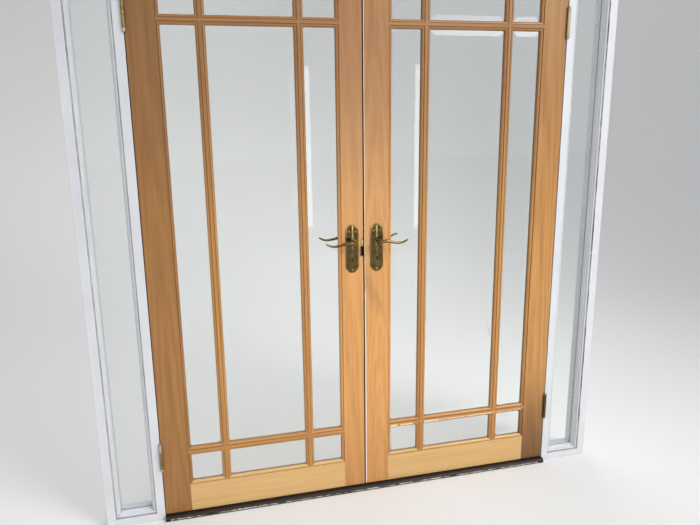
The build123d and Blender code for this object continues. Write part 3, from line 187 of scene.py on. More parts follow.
studio_sweep()
studio_world()
studio_camera()
lamp("key_lamp", (2.6, -3.2, 3.4), aim=(0.0, 0.0, 0.45), size=(2.4, 1.6), power=20.5, spread=60.0)
lamp("strip_lamp", (1.175, -4.2, 1.05), aim=(0.0, 0.0, 1.0), size=(0.5, 1.6), power=14.0)
lamp("fill_lamp", (-3.0, -2.6, 1.0), aim=(0.0, 0.0, 0.8), size=(1.4, 1.2), power=14.0)
lamp("back_lamp", (0.6, 2.6, 3.4), aim=(0.0, 0.0, 0.8), size=(3.0, 1.4), power=36.0, spread=150.0)
bpy.context.scene.view_settings.view_transform = "Standard"

# Frame: softwood posts, jambs, head, sills, stops and sidelight beads under several coats of white gloss. It
# is brushed along each length, cracked along the beads' joints and scuffed low down, and its corners are
# darkened with painted shade.
BRUSH_WIDTH = 1.4 * MM
KNOCK_SIZE = 6.0 * MM
CORNER_SHADE_REACH = 14 * MM
SCUFF_TOP = 0.45
BEAD_JOINTS = (790.5 * MM, 930.5 * MM)
WIDEST_CRACK = 0.9 * MM


def dress(material, *names):
    """Gives CAD nodes a material without touching their meshes."""
    for name in names:
        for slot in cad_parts[name].material_slots:
            slot.material = material


def mark(tree, place, under, hexa, centre, half, ragged=0.2, soft=0.1, strength=1.0, tilt=0.0):
    """Lays a colour over what is under it, in a box given by its centre and half size in millimetres, with an
    edge that is ragged or soft; both are shares of the half size."""
    at = add(tree, "ShaderNodeMapping",
             {"Vector": place, "Location": Vector(centre) * MM, "Rotation": (0.0, tilt, 0.0),
              "Scale": Vector(half) * MM}, vector_type="TEXTURE")
    away = add(tree, "ShaderNodeVectorMath", {0: at}, operation="ABSOLUTE")
    away = add(tree, "ShaderNodeSeparateXYZ", {0: away})
    far = add(tree, "ShaderNodeMath", {0: away.outputs[0], 1: away.outputs[1]}, operation="MAXIMUM")
    far = add(tree, "ShaderNodeMath", {0: far, 1: away.outputs[2]}, operation="MAXIMUM")
    tear = add(tree, "ShaderNodeTexNoise", {"Vector": place, "Scale": 160.0, "Detail": 3.0})
    far = add(tree, "ShaderNodeMath", {0: tear, 1: ragged, 2: far}, operation="MULTIPLY_ADD")
    edge = 1.0 + 0.5 * ragged
    share = add(tree, "ShaderNodeMapRange", {"Value": far, "From Min": edge + soft, "From Max": edge - soft,
                                             "To Min": 0.0, "To Max": strength})
    return add(tree, "ShaderNodeMix", {0: share, 6: under, 7: srgb(hexa)}, data_type="RGBA").outputs[2]


def white_gloss(name, along):
    """Old brushed gloss: cool white, brush lines along the length, a soft shine, knocks, painted corner
    shade.
    """
    made, tree = new_material(name)
    place = add(tree, "ShaderNodeTexCoord").outputs["Object"]
    thin, slow = 1 / BRUSH_WIDTH, 3.0
    stretch = (slow, thin, thin) if along == "X" else (thin, thin, slow)
    lines = add(tree, "ShaderNodeMapping", {"Vector": place, "Scale": stretch})
    lines = add(tree, "ShaderNodeTexNoise", {"Vector": lines, "Scale": 1.0, "Detail": 3.0})
    cloud = add(tree, "ShaderNodeTexNoise", {"Vector": place, "Scale": 5.0, "Detail": 4.0})
    across = add(tree, "ShaderNodeSeparateXYZ", {"Vector": place})
    low = add(tree, "ShaderNodeMapRange",
              {"Value": across.outputs["Z"], "From Min": SCUFF_TOP, "From Max": 0.0})
    speck = add(tree, "ShaderNodeTexNoise",
                {"Vector": place, "Scale": 1 / KNOCK_SIZE, "Detail": 5.0, "Roughness": 0.75})
    edge = add(tree, "ShaderNodeMath", {0: cloud, 1: 0.25, 2: speck}, operation="MULTIPLY_ADD")
    edge = add(tree, "ShaderNodeMath", {0: low, 1: 0.07, 2: edge}, operation="MULTIPLY_ADD")
    knocks = add(tree, "ShaderNodeMapRange", {"Value": edge, "From Min": 0.83, "From Max": 0.89})
    tone = add(tree, "ShaderNodeMath", {0: cloud, 1: 0.9, 2: -0.08}, operation="MULTIPLY_ADD")
    tone = add(tree, "ShaderNodeMath", {0: lines, 1: 0.25, 2: tone}, operation="MULTIPLY_ADD")
    paint = add(tree, "ShaderNodeValToRGB", {"Fac": tone},
                ((0.0, "#D5D5D8"), (0.5, "#E3E4E8"), (1.0, "#EDEEF2")))
    paint = add(tree, "ShaderNodeMix", {0: knocks, 6: paint, 7: srgb("#8D8272")}, data_type="RGBA").outputs[2]
    # Painted shade: ambient occlusion finds corners and recesses, broken up by speckle, and greys the paint
    # there.
    open_sky = add(tree, "ShaderNodeAmbientOcclusion", {"Distance": CORNER_SHADE_REACH}, samples=8).outputs["AO"]
    corner = add(tree, "ShaderNodeMath", {0: speck, 1: -0.35, 2: open_sky}, operation="MULTIPLY_ADD")
    corner = add(tree, "ShaderNodeMapRange",
                 {"Value": corner, "From Min": 0.58, "From Max": 0.15, "To Max": 0.45})
    paint = add(tree, "ShaderNodeMix", {0: corner, 6: paint, 7: srgb("#9B948A")}, data_type="RGBA").outputs[2]
    off_centre = add(tree, "ShaderNodeMath", {0: across.outputs["X"]}, operation="ABSOLUTE")
    crack = add(tree, "ShaderNodeMapping", {"Vector": place, "Scale": (60.0, 60.0, 9.0)})
    crack = add(tree, "ShaderNodeTexNoise", {"Vector": crack, "Scale": 1.0, "Detail": 4.0, "Roughness": 0.7})
    for joint in BEAD_JOINTS:
        gap = add(tree, "ShaderNodeMath", {0: off_centre, 1: joint}, operation="SUBTRACT")
        gap = add(tree, "ShaderNodeMath", {0: gap}, operation="ABSOLUTE")
        width = add(tree, "ShaderNodeMapRange", {"Value": crack, "From Min": 0.50, "From Max": 0.75,
                                                 "To Min": 0.0, "To Max": WIDEST_CRACK})
        open_here = add(tree, "ShaderNodeMath", {0: gap, 1: width}, operation="LESS_THAN")
        paint = add(tree, "ShaderNodeMix", {0: open_here, 6: paint, 7: srgb("#857E75")},
                    data_type="RGBA").outputs[2]
    rough = add(tree, "ShaderNodeMath", {0: cloud, 1: 0.2, 2: 0.26}, operation="MULTIPLY_ADD")
    rough = add(tree, "ShaderNodeMath", {0: knocks, 1: 0.3, 2: rough}, operation="MULTIPLY_ADD")
    height = add(tree, "ShaderNodeMath", {0: knocks, 1: -1.5, 2: lines}, operation="MULTIPLY_ADD")
    bump = add(tree, "ShaderNodeBump", {"Height": height, "Strength": 0.35, "Distance": 0.4 * MM})
    skin = add(tree, "ShaderNodeBsdfPrincipled", {"Base Color": paint, "Roughness": rough, "Normal": bump,
                                                  "IOR": 1.5, "Coat Weight": 0.15, "Coat Roughness": 0.2})
    add(tree, "ShaderNodeOutputMaterial", {"Surface": skin})
    return made


gloss_upright = white_gloss("brushed_white_gloss_upright", "Z")
gloss_level = white_gloss("brushed_white_gloss_level", "X")
dress(gloss_upright, "jamb_left", "jamb_right", "post_left", "post_right", "door_stops",
      "sidelight_beads_left", "sidelight_beads_right")
dress(gloss_level, "head", "sidelight_sill_left", "sidelight_sill_right")

# Threshold: a hardwood board stained almost black-brown, with its nose worn by feet. Pale filler was run
# along the foot of its nose and has since broken away in places.
FILLER_START, FILLER_END = -0.742, 0.738
FILLER_RADIUS = 2.2 * MM
FILLER_STEP = 4.0 * MM
FILLER_RISE = 5.8 * MM
FILLER_PROUD = 0.2 * MM
FILLER_STRAY = 0.8 * MM
FILLER_BROKEN = 0.41


def stained_hardwood():
    """Oil stain on close-grained hardwood: nearly black in the pores, browner where it is scuffed."""
    made, tree = new_material("dark_stained_hardwood")
    place = add(tree, "ShaderNodeTexCoord").outputs["Object"]
    grain = add(tree, "ShaderNodeMapping", {"Vector": place, "Scale": (9.0, 420.0, 420.0)})
    grain = add(tree, "ShaderNodeTexNoise", {"Vector": grain, "Scale": 1.0, "Detail": 4.0})
    scuff = add(tree, "ShaderNodeTexNoise", {"Vector": place, "Scale": 26.0, "Detail": 6.0, "Roughness": 0.7})
    tone = add(tree, "ShaderNodeMath", {0: grain, 1: 0.7, 2: -0.30}, operation="MULTIPLY_ADD")
    tone = add(tree, "ShaderNodeMath", {0: scuff, 1: 0.7, 2: tone}, operation="MULTIPLY_ADD")
    stain = add(tree, "ShaderNodeValToRGB", {"Fac": tone},
                ((0.0, "#0F0806"), (0.45, "#1C110B"), (0.75, "#301E13"), (1.0, "#5A4330")))
    rough = add(tree, "ShaderNodeMath", {0: scuff, 1: 0.5, 2: 0.3}, operation="MULTIPLY_ADD")
    bump = add(tree, "ShaderNodeBump", {"Height": grain, "Strength": 0.4, "Distance": 0.4 * MM})
    skin = add(tree, "ShaderNodeBsdfPrincipled", {"Base Color": stain, "Roughness": rough, "Normal": bump,
                                                  "IOR": 1.5})
    add(tree, "ShaderNodeOutputMaterial", {"Surface": skin})
    return made


def dried_filler(name, pale):
    """Decorator's filler gone hard and grubby: chalky, fully matt."""
    made, tree = new_material(name)
    place = add(tree, "ShaderNodeTexCoord").outputs["Object"]
    grub = add(tree, "ShaderNodeTexNoise", {"Vector": place, "Scale": 60.0, "Detail": 5.0})
    chalk = add(tree, "ShaderNodeValToRGB", {"Fac": grub},
                ((0.3, "#6F6355"), (0.45, "#B3A999"), (0.62, pale)))
    skin = add(tree, "ShaderNodeBsdfPrincipled", {"Base Color": chalk, "Roughness": 0.85})
    add(tree, "ShaderNodeOutputMaterial", {"Surface": skin})
    return made


def new_geometry_tree(name, *sockets):
    """A modifier tree with a geometry in and out, and named inputs given as (name, kind, value)."""
    tree = bpy.data.node_groups.new(name, "GeometryNodeTree")
    tree.interface.new_socket("Geometry", in_out="INPUT", socket_type="NodeSocketGeometry")
    tree.interface.new_socket("Geometry", in_out="OUTPUT", socket_type="NodeSocketGeometry")
    for label, kind, value in sockets:
        made = tree.interface.new_socket(label, in_out="INPUT", socket_type="NodeSocket" + kind)
        if kind != "Material":
            made.default_value = value
    return tree, add(tree, "NodeGroupInput").outputs


def finished(tree, inside, shape):
    """Ends a modifier tree: everything becomes plain mesh in the material asked for."""
    whole = add(tree, "GeometryNodeRealizeInstances", {"Geometry": shape})
    coated = add(tree, "GeometryNodeSetMaterial", {"Geometry": whole, "Material": inside["Finish"]})
    add(tree, "NodeGroupOutput", {"Geometry": coated})
    return tree


def grown(piece, tree, **values):
    """Runs a geometry tree on a piece and keeps only the plain mesh that comes out."""
    modifier = piece.modifiers.new(tree.name, "NODES")
    modifier.node_group = tree
    for item in tree.interface.items_tree:
        if item.in_out == "INPUT" and item.name in values:
            modifier[item.identifier] = values[item.name]
    seen = piece.evaluated_get(bpy.context.evaluated_depsgraph_get())
    mesh = bpy.data.meshes.new_from_object(seen)
    piece.modifiers.clear()
    piece.data = mesh
    return piece


def filler_tree():
    """A line of points becomes a lumpy bead whose thickness comes and goes, so that the run breaks off."""
    tree, inside = new_geometry_tree("ragged_filler", ("Radius", "Float", 0.002), ("Stray", "Float", 0.0005),
                                     ("Broken", "Float", 0.43), ("Seed", "Int", 3),
                                     ("Finish", "Material", None))
    line = add(tree, "GeometryNodeMeshToCurve", {"Mesh": inside["Geometry"]})
    patch = add(tree, "ShaderNodeTexNoise", {"W": 3.0, "Scale": 6.0, "Detail": 8.0, "Roughness": 0.8},
                noise_dimensions="4D")
    whole = add(tree, "ShaderNodeMath", {0: inside["Broken"], 1: 0.12}, operation="ADD")
    swell = add(tree, "ShaderNodeMapRange", {"Value": patch, "From Min": inside["Broken"], "From Max": whole})
    jitter = add(tree, "FunctionNodeRandomValue", {2: 0.8, 3: 1.2, "Seed": inside["Seed"]}).outputs[1]
    reach = add(tree, "ShaderNodeCombineXYZ", {"X": inside["Stray"], "Z": inside["Stray"]})
    back = add(tree, "ShaderNodeVectorMath", {0: reach, "Scale": -1.0}, operation="SCALE")
    wander = add(tree, "FunctionNodeRandomValue", {0: back, 1: reach, "Seed": inside["Seed"]},
                 data_type="FLOAT_VECTOR")
    line = add(tree, "GeometryNodeSetPosition", {"Geometry": line, "Offset": wander})
    thick = add(tree, "ShaderNodeMath", {0: swell, 1: jitter}, operation="MULTIPLY")
    thick = add(tree, "ShaderNodeMath", {0: thick, 1: inside["Radius"]}, operation="MULTIPLY")
    profile = add(tree, "GeometryNodeCurvePrimitiveCircle", {"Resolution": 8, "Radius": 1.0})
    bead = add(tree, "GeometryNodeCurveToMesh", {"Curve": line, "Profile Curve": profile, "Scale": thick,
                                                 "Fill Caps": True})
    return finished(tree, inside, bead)


def threshold_filler():
    """The run of filler along the foot of the threshold's nose."""
    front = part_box("threshold")[0].y
    count = round((FILLER_END - FILLER_START) / FILLER_STEP)
    points = [(FILLER_START + FILLER_STEP * i, front + FILLER_PROUD, FILLER_RISE) for i in range(count)]
    made = mesh_object("threshold_filler", points, edges=[(i, i + 1) for i in range(count - 1)])
    grown(made, ragged_filler, Radius=FILLER_RADIUS, Stray=FILLER_STRAY, Broken=FILLER_BROKEN, Seed=3,
          Finish=dried_filler("dried_decorators_filler", "#DDD6CA"))
    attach(made, "frame")


dress(stained_hardwood(), "threshold")
ragged_filler = filler_tree()
threshold_filler()

# Quirks beside the sidelights' upright beads: filler and many coats of paint have bridged them, and have
# cracked out again here and there, which leaves a dark slit.
QUIRK_MIDDLES = (791.7 * MM, 929.3 * MM)
QUIRK_DEPTH = 7.0 * MM
QUIRK_FOOT, QUIRK_TOP = 30 * MM, 1946 * MM
QUIRK_STEPS = 320
QUIRK_RADIUS = 1.35 * MM
QUIRK_STRAY = 0.1 * MM
QUIRK_BROKEN = 0.36


def quirk_paint():
    """Four upright runs of filler and paint, one in each quirk."""
    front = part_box("jamb_left")[0].y + QUIRK_DEPTH
    rise = (QUIRK_TOP - QUIRK_FOOT) / QUIRK_STEPS
    points, edges = [], []
    for middle in QUIRK_MIDDLES:
        for x in (-middle, middle):
            edges += [(len(points) + i, len(points) + i + 1) for i in range(QUIRK_STEPS)]
            points += [(x, front, QUIRK_FOOT + rise * i) for i in range(QUIRK_STEPS + 1)]
    made = mesh_object("quirk_paint", points, edges=edges)
    grown(made, ragged_filler, Radius=QUIRK_RADIUS, Stray=QUIRK_STRAY, Broken=QUIRK_BROKEN, Seed=4,
          Finish=gloss_upright)
    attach(made, "frame")


quirk_paint()

# Leaves' timber: oak, mortised and tenoned, under a warm satin varnish. Every board was cut from its own
# place in the log, so each has its own figure and tint; stiles and bars run up, rails and cross bars run
# across.
PORE_WIDTH = 0.45 * MM
PORE_LENGTH = 9.0 * MM
RING_GAP = 6.5 * MM
RING_GAP_AT_SCALE_ONE = 0.314
HOLLOW_SHADE_REACH = 8 * MM
LIT_BAND_TOP, LIT_BAND_FOOT = 0.85, 0.5
SHADE_TOP = 1.6


def satin_oak(name, tints, along, heart, tilt, taper, dull, marks):
    """Varnished oak: rings round a heart behind the board, streaks and dark pores along it, a satin coat.

    tints are three hex colours from the darkest grain to the lightest, heart is the log's middle in
    millimetres across and behind the frame's origin, tilt is how askew the board was sawn, taper how fast
    the log narrows, dull how much painted shade darkens it above and below the band near handle height
    that the lamps light fully, and marks what wear, dirt, painted shade and painted highlights lie on it."""
    made, tree = new_material(name)
    place = add(tree, "ShaderNodeTexCoord").outputs["Object"]
    turn = (tilt, -math.pi / 2 + tilt, 0.0) if along == "X" else (tilt, tilt * 0.7, 0.0)
    shift = (-heart[0] * MM, -heart[1] * MM, 0.0)
    board = add(tree, "ShaderNodeMapping", {"Vector": place, "Rotation": turn, "Location": shift})

    def grain(across, length, detail):
        fine = (1 / across, 1 / across, 1 / length)
        stretch = add(tree, "ShaderNodeMapping", {"Vector": board, "Scale": fine})
        return add(tree, "ShaderNodeTexNoise", {"Vector": stretch, "Scale": 1.0, "Detail": detail})

    log = add(tree, "ShaderNodeMapping", {"Vector": board, "Scale": (1.0, 1.0, taper)})
    rings = add(tree, "ShaderNodeTexWave",
                {"Vector": log, "Scale": RING_GAP_AT_SCALE_ONE / RING_GAP, "Distortion": 9.0, "Detail": 3.0,
                 "Detail Scale": 0.30, "Detail Roughness": 0.6},
                wave_type="RINGS", rings_direction="Z").outputs["Fac"]
    bands = grain(18 * MM, 0.7, 2.0)
    figure = grain(6 * MM, 0.16, 3.0)
    streaks = grain(1.6 * MM, 0.09, 4.0)
    pores = grain(PORE_WIDTH, PORE_LENGTH, 2.0)
    pits = add(tree, "ShaderNodeMapRange", {"Value": pores, "From Min": 0.60, "From Max": 0.70})
    early = add(tree, "ShaderNodeMapRange", {"Value": rings, "From Min": 0.75, "From Max": 0.2})
    pits = add(tree, "ShaderNodeMath", {0: pits, 1: early}, operation="MULTIPLY")
    weights = ((rings, 0.14), (bands, 0.36), (figure, 0.40), (streaks, 0.24), (pits, -0.30))
    tone = 0.5 - 0.5 * sum(weight for pattern, weight in weights if weight > 0)
    for pattern, weight in weights:
        tone = add(tree, "ShaderNodeMath", {0: pattern, 1: weight, 2: tone}, operation="MULTIPLY_ADD")
    wood = add(tree, "ShaderNodeValToRGB", {"Fac": tone},
               ((0.0, tints[0]), (0.5, tints[1]), (1.0, tints[2])))
    # Painted shade: above LIT_BAND_TOP and below LIT_BAND_FOOT the wood is multiplied darker by dull.
    height = add(tree, "ShaderNodeSeparateXYZ", {0: place}).outputs["Z"]
    above = add(tree, "ShaderNodeMapRange", {"Value": height, "From Min": LIT_BAND_TOP, "From Max": SHADE_TOP,
                                             "To Max": dull[0]}, interpolation_type="SMOOTHSTEP")
    below = add(tree, "ShaderNodeMapRange", {"Value": height, "From Min": LIT_BAND_FOOT, "From Max": 0.0,
                                             "To Max": dull[1]}, interpolation_type="SMOOTHSTEP")
    height_shade = add(tree, "ShaderNodeMath", {0: above, 1: below}, operation="ADD")
    wood = add(tree, "ShaderNodeMix", {0: height_shade, 6: wood, 7: srgb("#54412F")}, data_type="RGBA",
               blend_type="MULTIPLY").outputs[2]
    # Painted shade: ambient occlusion darkens the wood in the mouldings' quirks and hollows.
    open_sky = add(tree, "ShaderNodeAmbientOcclusion", {"Distance": HOLLOW_SHADE_REACH}, samples=8).outputs["AO"]
    hollow_shade = add(tree, "ShaderNodeMapRange",
                 {"Value": open_sky, "From Min": 0.85, "From Max": 0.35, "To Max": 0.6})
    wood = add(tree, "ShaderNodeMix", {0: hollow_shade, 6: wood, 7: srgb("#6B4220")}, data_type="RGBA").outputs[2]
    for wear in marks:
        wood = mark(tree, place, wood, **wear)
    rough = add(tree, "ShaderNodeMath", {0: streaks, 1: 0.14, 2: 0.32}, operation="MULTIPLY_ADD")
    relief = add(tree, "ShaderNodeMath", {0: streaks, 1: 0.25}, operation="MULTIPLY")
    relief = add(tree, "ShaderNodeMath", {0: pits, 1: -1.0, 2: relief}, operation="MULTIPLY_ADD")
    bump = add(tree, "ShaderNodeBump", {"Height": relief, "Strength": 0.25, "Distance": 0.3 * MM})
    skin = add(tree, "ShaderNodeBsdfPrincipled", {"Base Color": wood, "Roughness": rough, "Normal": bump,
                                                  "IOR": 1.5, "Coat Weight": 0.12, "Coat Roughness": 0.18})
    add(tree, "ShaderNodeOutputMaterial", {"Surface": skin})
    return made


# What lies on the meeting stiles and the chewed bar: painted shade in the joint between the leaves,
# bare pale wood where the arris was planed or rubbed, painted paler as a highlight, grime and painted
# shade in the pocket of the dead bolt and above it, and a smudge worn by hands under the handle. Places
# are in millimetres.
LEAF_FACE = -17.5
CHEWED_HEIGHT = 248.4
# Painted shade: a dark strip on both meeting stiles beside the gap between the leaves.
JOINT_SHADE = {"hexa": "#24150C", "centre": (-6.1, -9.5, 985.0), "half": (2.8, 8.6, 975.0), "soft": 0.06,
              "ragged": 0.1}
# Bare planed and rubbed wood along the right leaf's arris, painted paler than bare oak as a highlight.
PLANED_ARRIS_AND_HIGHLIGHT = {"hexa": "#FBF3E4", "centre": (-1.3, -17.0, 409.0), "half": (2.0, 2.6, 390.0),
                "ragged": 0.08, "soft": 0.03}
RUBBED_ARRIS_AND_HIGHLIGHT = {"hexa": "#F8E6C8", "centre": (-2.7, LEAF_FACE, 1370.0), "half": (1.0, 1.2, 571.0),
                "ragged": 0.8}
HAND_SMUDGE = {"hexa": "#8F6A4A", "centre": (22.0, LEAF_FACE, 805.0), "half": (15.0, 6.0, 72.0),
               "ragged": 1.1, "soft": 0.6, "strength": 0.38, "tilt": -0.28}
# Grime and painted shade: near-black in the dead bolt's pocket, and a dark patch on the face above it.
POCKET_GRIME_AND_SHADE = {"hexa": "#1E130C", "centre": (-12.0, 0.0, 950.5), "half": (9.5, 18.0, 18.5), "ragged": 0.1}
LIP_GRIME_AND_SHADE = {"hexa": "#4A3220", "centre": (-12.0, LEAF_FACE, 980.0), "half": (3.0, 3.0, 15.0),
             "ragged": 0.5, "soft": 0.3, "strength": 0.7}
CHEWED_BITES = ((112, 14, 4.2), (166, 27, 3.2), (266, 27, 4.2), (350, 60, 2.2), (470, 68, 2.8),
                (600, 55, 1.8))
CHEWED_ARRIS = [{"hexa": "#FBE9CC", "centre": (x, LEAF_FACE + 1.0, CHEWED_HEIGHT),
                 "half": (wide, 4.5, high), "ragged": 1.4, "soft": 0.08} for x, wide, high in CHEWED_BITES]

AMBER = ("#A87B4C", "#E2A15B", "#F2BC7C")
RUSSET = ("#7C5736", "#A8743D", "#C08E54")
HONEY = ("#8C5E30", "#C98F4E", "#DFAE70")
STRAW = ("#B8864A", "#DDB274", "#EECB92")

BOARDS = (
    # The left hinge stile's darker russet tints stand partly for painted shade on that side.
    ("left_hinge_stile", RUSSET, "Z", (-700, 75), 0.012, 0.07, (0.25, 0.12), ()),
    ("left_meeting_stile", AMBER, "Z", (-60, 140), 0.006, 0.07, (0.50, 0.25),
     (JOINT_SHADE, POCKET_GRIME_AND_SHADE, LIP_GRIME_AND_SHADE)),
    ("right_meeting_stile", AMBER, "Z", (62, 42), 0.022, 0.20, (0.48, 0.22),
     (HAND_SMUDGE, JOINT_SHADE, RUBBED_ARRIS_AND_HIGHLIGHT, PLANED_ARRIS_AND_HIGHLIGHT)),
    ("right_hinge_stile", HONEY, "Z", (690, 95), 0.010, 0.07, (0.30, 0.75), ()),
    ("left_bottom_rail", STRAW, "X", (60, 70), 0.004, 0.07, (0.0, 0.0), ()),
    ("right_bottom_rail", STRAW, "X", (85, 50), 0.004, 0.07, (0.0, 0.0), ()),
    ("left_top_rail", HONEY, "X", (1900, 70), 0.004, 0.07, (0.35, 0.0), ()),
    ("right_top_rail", HONEY, "X", (1880, 90), 0.004, 0.07, (0.35, 0.0), ()),
    ("left_cross_bars", HONEY, "X", (240, 60), 0.002, 0.07, (0.35, 0.0), ()),
    ("right_cross_bars", HONEY, "X", (260, 45), 0.002, 0.07, (0.35, 0.0), CHEWED_ARRIS),
    ("left_upright_bars", HONEY, "Z", (-420, 60), 0.002, 0.07, (0.40, 0.1), ()),
    ("right_upright_bars", HONEY, "Z", (430, 60), 0.002, 0.07, (0.35, 0.1), ()),
    ("left_glazing_beads", RUSSET, "Z", (-400, 30), 0.004, 0.07, (0.2, 0.0), ()),
    ("right_glazing_beads", RUSSET, "Z", (400, 30), 0.004, 0.07, (0.2, 0.0), ()),
)
for board_name, *figure in BOARDS:
    dress(satin_oak("satin_oak_" + board_name, *figure), board_name)

# Panes: clear float glass with a bevel ground round the front, hardly green, with the thin film that wiped
# windows have. The sidelights are plain sheets of the same glass.
PANE_FILM, SIDELIGHT_FILM = 0.05, 0.07


def wiped_glass(name, film):
    """Float glass whose film of wiped dust softens what is seen in it here and there."""
    made, tree = new_material(name)
    place = add(tree, "ShaderNodeTexCoord").outputs["Object"]
    wipe = add(tree, "ShaderNodeMapping", {"Vector": place, "Scale": (7.0, 7.0, 2.5)})
    wipe = add(tree, "ShaderNodeTexNoise", {"Vector": wipe, "Scale": 1.0, "Detail": 5.0, "Distortion": 1.5})
    haze = add(tree, "ShaderNodeMapRange", {"Value": wipe, "From Min": 0.45, "From Max": 0.75, "To Min": 0.0,
                                            "To Max": film})
    skin = add(tree, "ShaderNodeBsdfPrincipled", {"Base Color": srgb("#FAFDFC"), "Roughness": haze,
                                                  "IOR": 1.52, "Transmission Weight": 1.0})
    add(tree, "ShaderNodeOutputMaterial", {"Surface": skin})
    return made


dress(wiped_glass("bevelled_float_glass", PANE_FILM), "left_panes", "right_panes")
dress(wiped_glass("plain_float_glass", SIDELIGHT_FILM), "sidelight_glass_left", "sidelight_glass_right")

# Flecks of old putty and filler dust: they were never cleaned off the glass along the mouldings, mostly on
# the right leaf. Each run is given in millimetres by its two ends, across and up.
FLECK_DEPTH = -6.2 * MM
FLECK_SPACING = 2.2 * MM
FLECK_LARGEST = 1.9 * MM
FLECK_STRAY = 2.0 * MM
FLECK_FIRST_SEED = 5
FLECK_RUNS = {
    "left": ((-455, 272, -330, 272), (-232, 1706, -232, 1640), (-97, 1200, -99, 1130),
             (-640, 137, -560, 137)),
    "right": ((490, 650, 507, 573), (646, 675, 650, 615), (101, 272, 203, 272), (240, 272, 330, 272),
              (470, 272, 514, 272), (102, 150, 102, 186), (240, 137, 300, 137), (560, 272, 652, 272),
              (238, 1706, 268, 1706), (240, 1766, 240, 1786), (238, 700, 240, 560)),
}


def fleck_tree():
    """Small lumps strewn along the runs by chance, thick in some places and none in others."""
    tree, inside = new_geometry_tree("putty_flecks", ("Spacing", "Float", 0.002), ("Largest", "Float", 0.001),
                                     ("Stray", "Float", 0.003), ("Seed", "Int", 5),
                                     ("Finish", "Material", None))
    line = add(tree, "GeometryNodeMeshToCurve", {"Mesh": inside["Geometry"]})
    spots = add(tree, "GeometryNodeCurveToPoints", {"Curve": line, "Length": inside["Spacing"]},
                mode="LENGTH")
    chance = add(tree, "FunctionNodeRandomValue", {2: 0.0, 3: 1.0, "Seed": inside["Seed"]}).outputs[1]
    patch = add(tree, "ShaderNodeTexNoise", {"Scale": 35.0, "Detail": 2.0})
    bare = add(tree, "ShaderNodeMath", {0: chance, 1: patch}, operation="GREATER_THAN")
    spots = add(tree, "GeometryNodeDeleteGeometry", {"Geometry": spots, "Selection": bare})
    reach = add(tree, "ShaderNodeCombineXYZ", {"X": inside["Stray"], "Z": inside["Stray"]})
    back = add(tree, "ShaderNodeVectorMath", {0: reach, "Scale": -1.0}, operation="SCALE")
    stray = add(tree, "FunctionNodeRandomValue", {0: back, 1: reach, "Seed": inside["Seed"]},
                data_type="FLOAT_VECTOR")
    spots = add(tree, "GeometryNodeSetPosition", {"Geometry": spots, "Offset": stray})
    lump = add(tree, "GeometryNodeMeshIcoSphere", {"Radius": inside["Largest"], "Subdivisions": 2})
    knobs = add(tree, "ShaderNodeTexNoise", {"Scale": 900.0, "Detail": 2.0})
    knobs = add(tree, "ShaderNodeMath", {0: knobs, 1: 1.1, 2: 0.35}, operation="MULTIPLY_ADD")
    whole = add(tree, "GeometryNodeInputPosition")
    whole = add(tree, "ShaderNodeVectorMath", {0: whole, "Scale": knobs}, operation="SCALE")
    lump = add(tree, "GeometryNodeSetPosition", {"Geometry": lump, "Position": whole})
    turn = add(tree, "FunctionNodeRandomValue",
               {0: (0.0, 0.0, 0.0), 1: (6.28, 6.28, 6.28), "Seed": inside["Seed"]}, data_type="FLOAT_VECTOR")
    size = add(tree, "FunctionNodeRandomValue", {2: 0.25, 3: 1.0, "Seed": inside["Seed"]}).outputs[1]
    strewn = add(tree, "GeometryNodeInstanceOnPoints", {"Points": spots, "Instance": lump, "Rotation": turn,
                                                        "Scale": size})
    return finished(tree, inside, strewn)


putty = dried_filler("dried_putty", "#F1EDE4")
flecks = fleck_tree()
for seed, (side, runs) in enumerate(FLECK_RUNS.items()):
    ends = [(x * MM, FLECK_DEPTH, z * MM) for x1, z1, x2, z2 in runs for x, z in ((x1, z1), (x2, z2))]
    runs_drawn = [(i, i + 1) for i in range(0, len(ends), 2)]
    fleck_piece = mesh_object(f"putty_flecks_{side}", ends, edges=runs_drawn)
    grown(fleck_piece, flecks, Spacing=FLECK_SPACING, Largest=FLECK_LARGEST, Stray=FLECK_STRAY,
          Seed=FLECK_FIRST_SEED + seed, Finish=putty)
    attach(fleck_piece, f"leaf_{side}")

# Hinges, handles, lock and bolts: cast and rolled brass, lacquered once and now brown where hands don't
# reach, bright where they do. Pins, spindles and the lock case are plain steel. Marks are in millimetres.
HINGE_EDGE, HINGE_DEPTH = 759.0, -25.0
PAINTED_TIPS = ((199.0, 6.0), (299.0, 24.0), (1687.0, 6.0), (1787.0, 6.0))
HEAD_CROWN, HEAD_SEAT = 0.16, 0.34
SLOT_CENTRE = 0.13


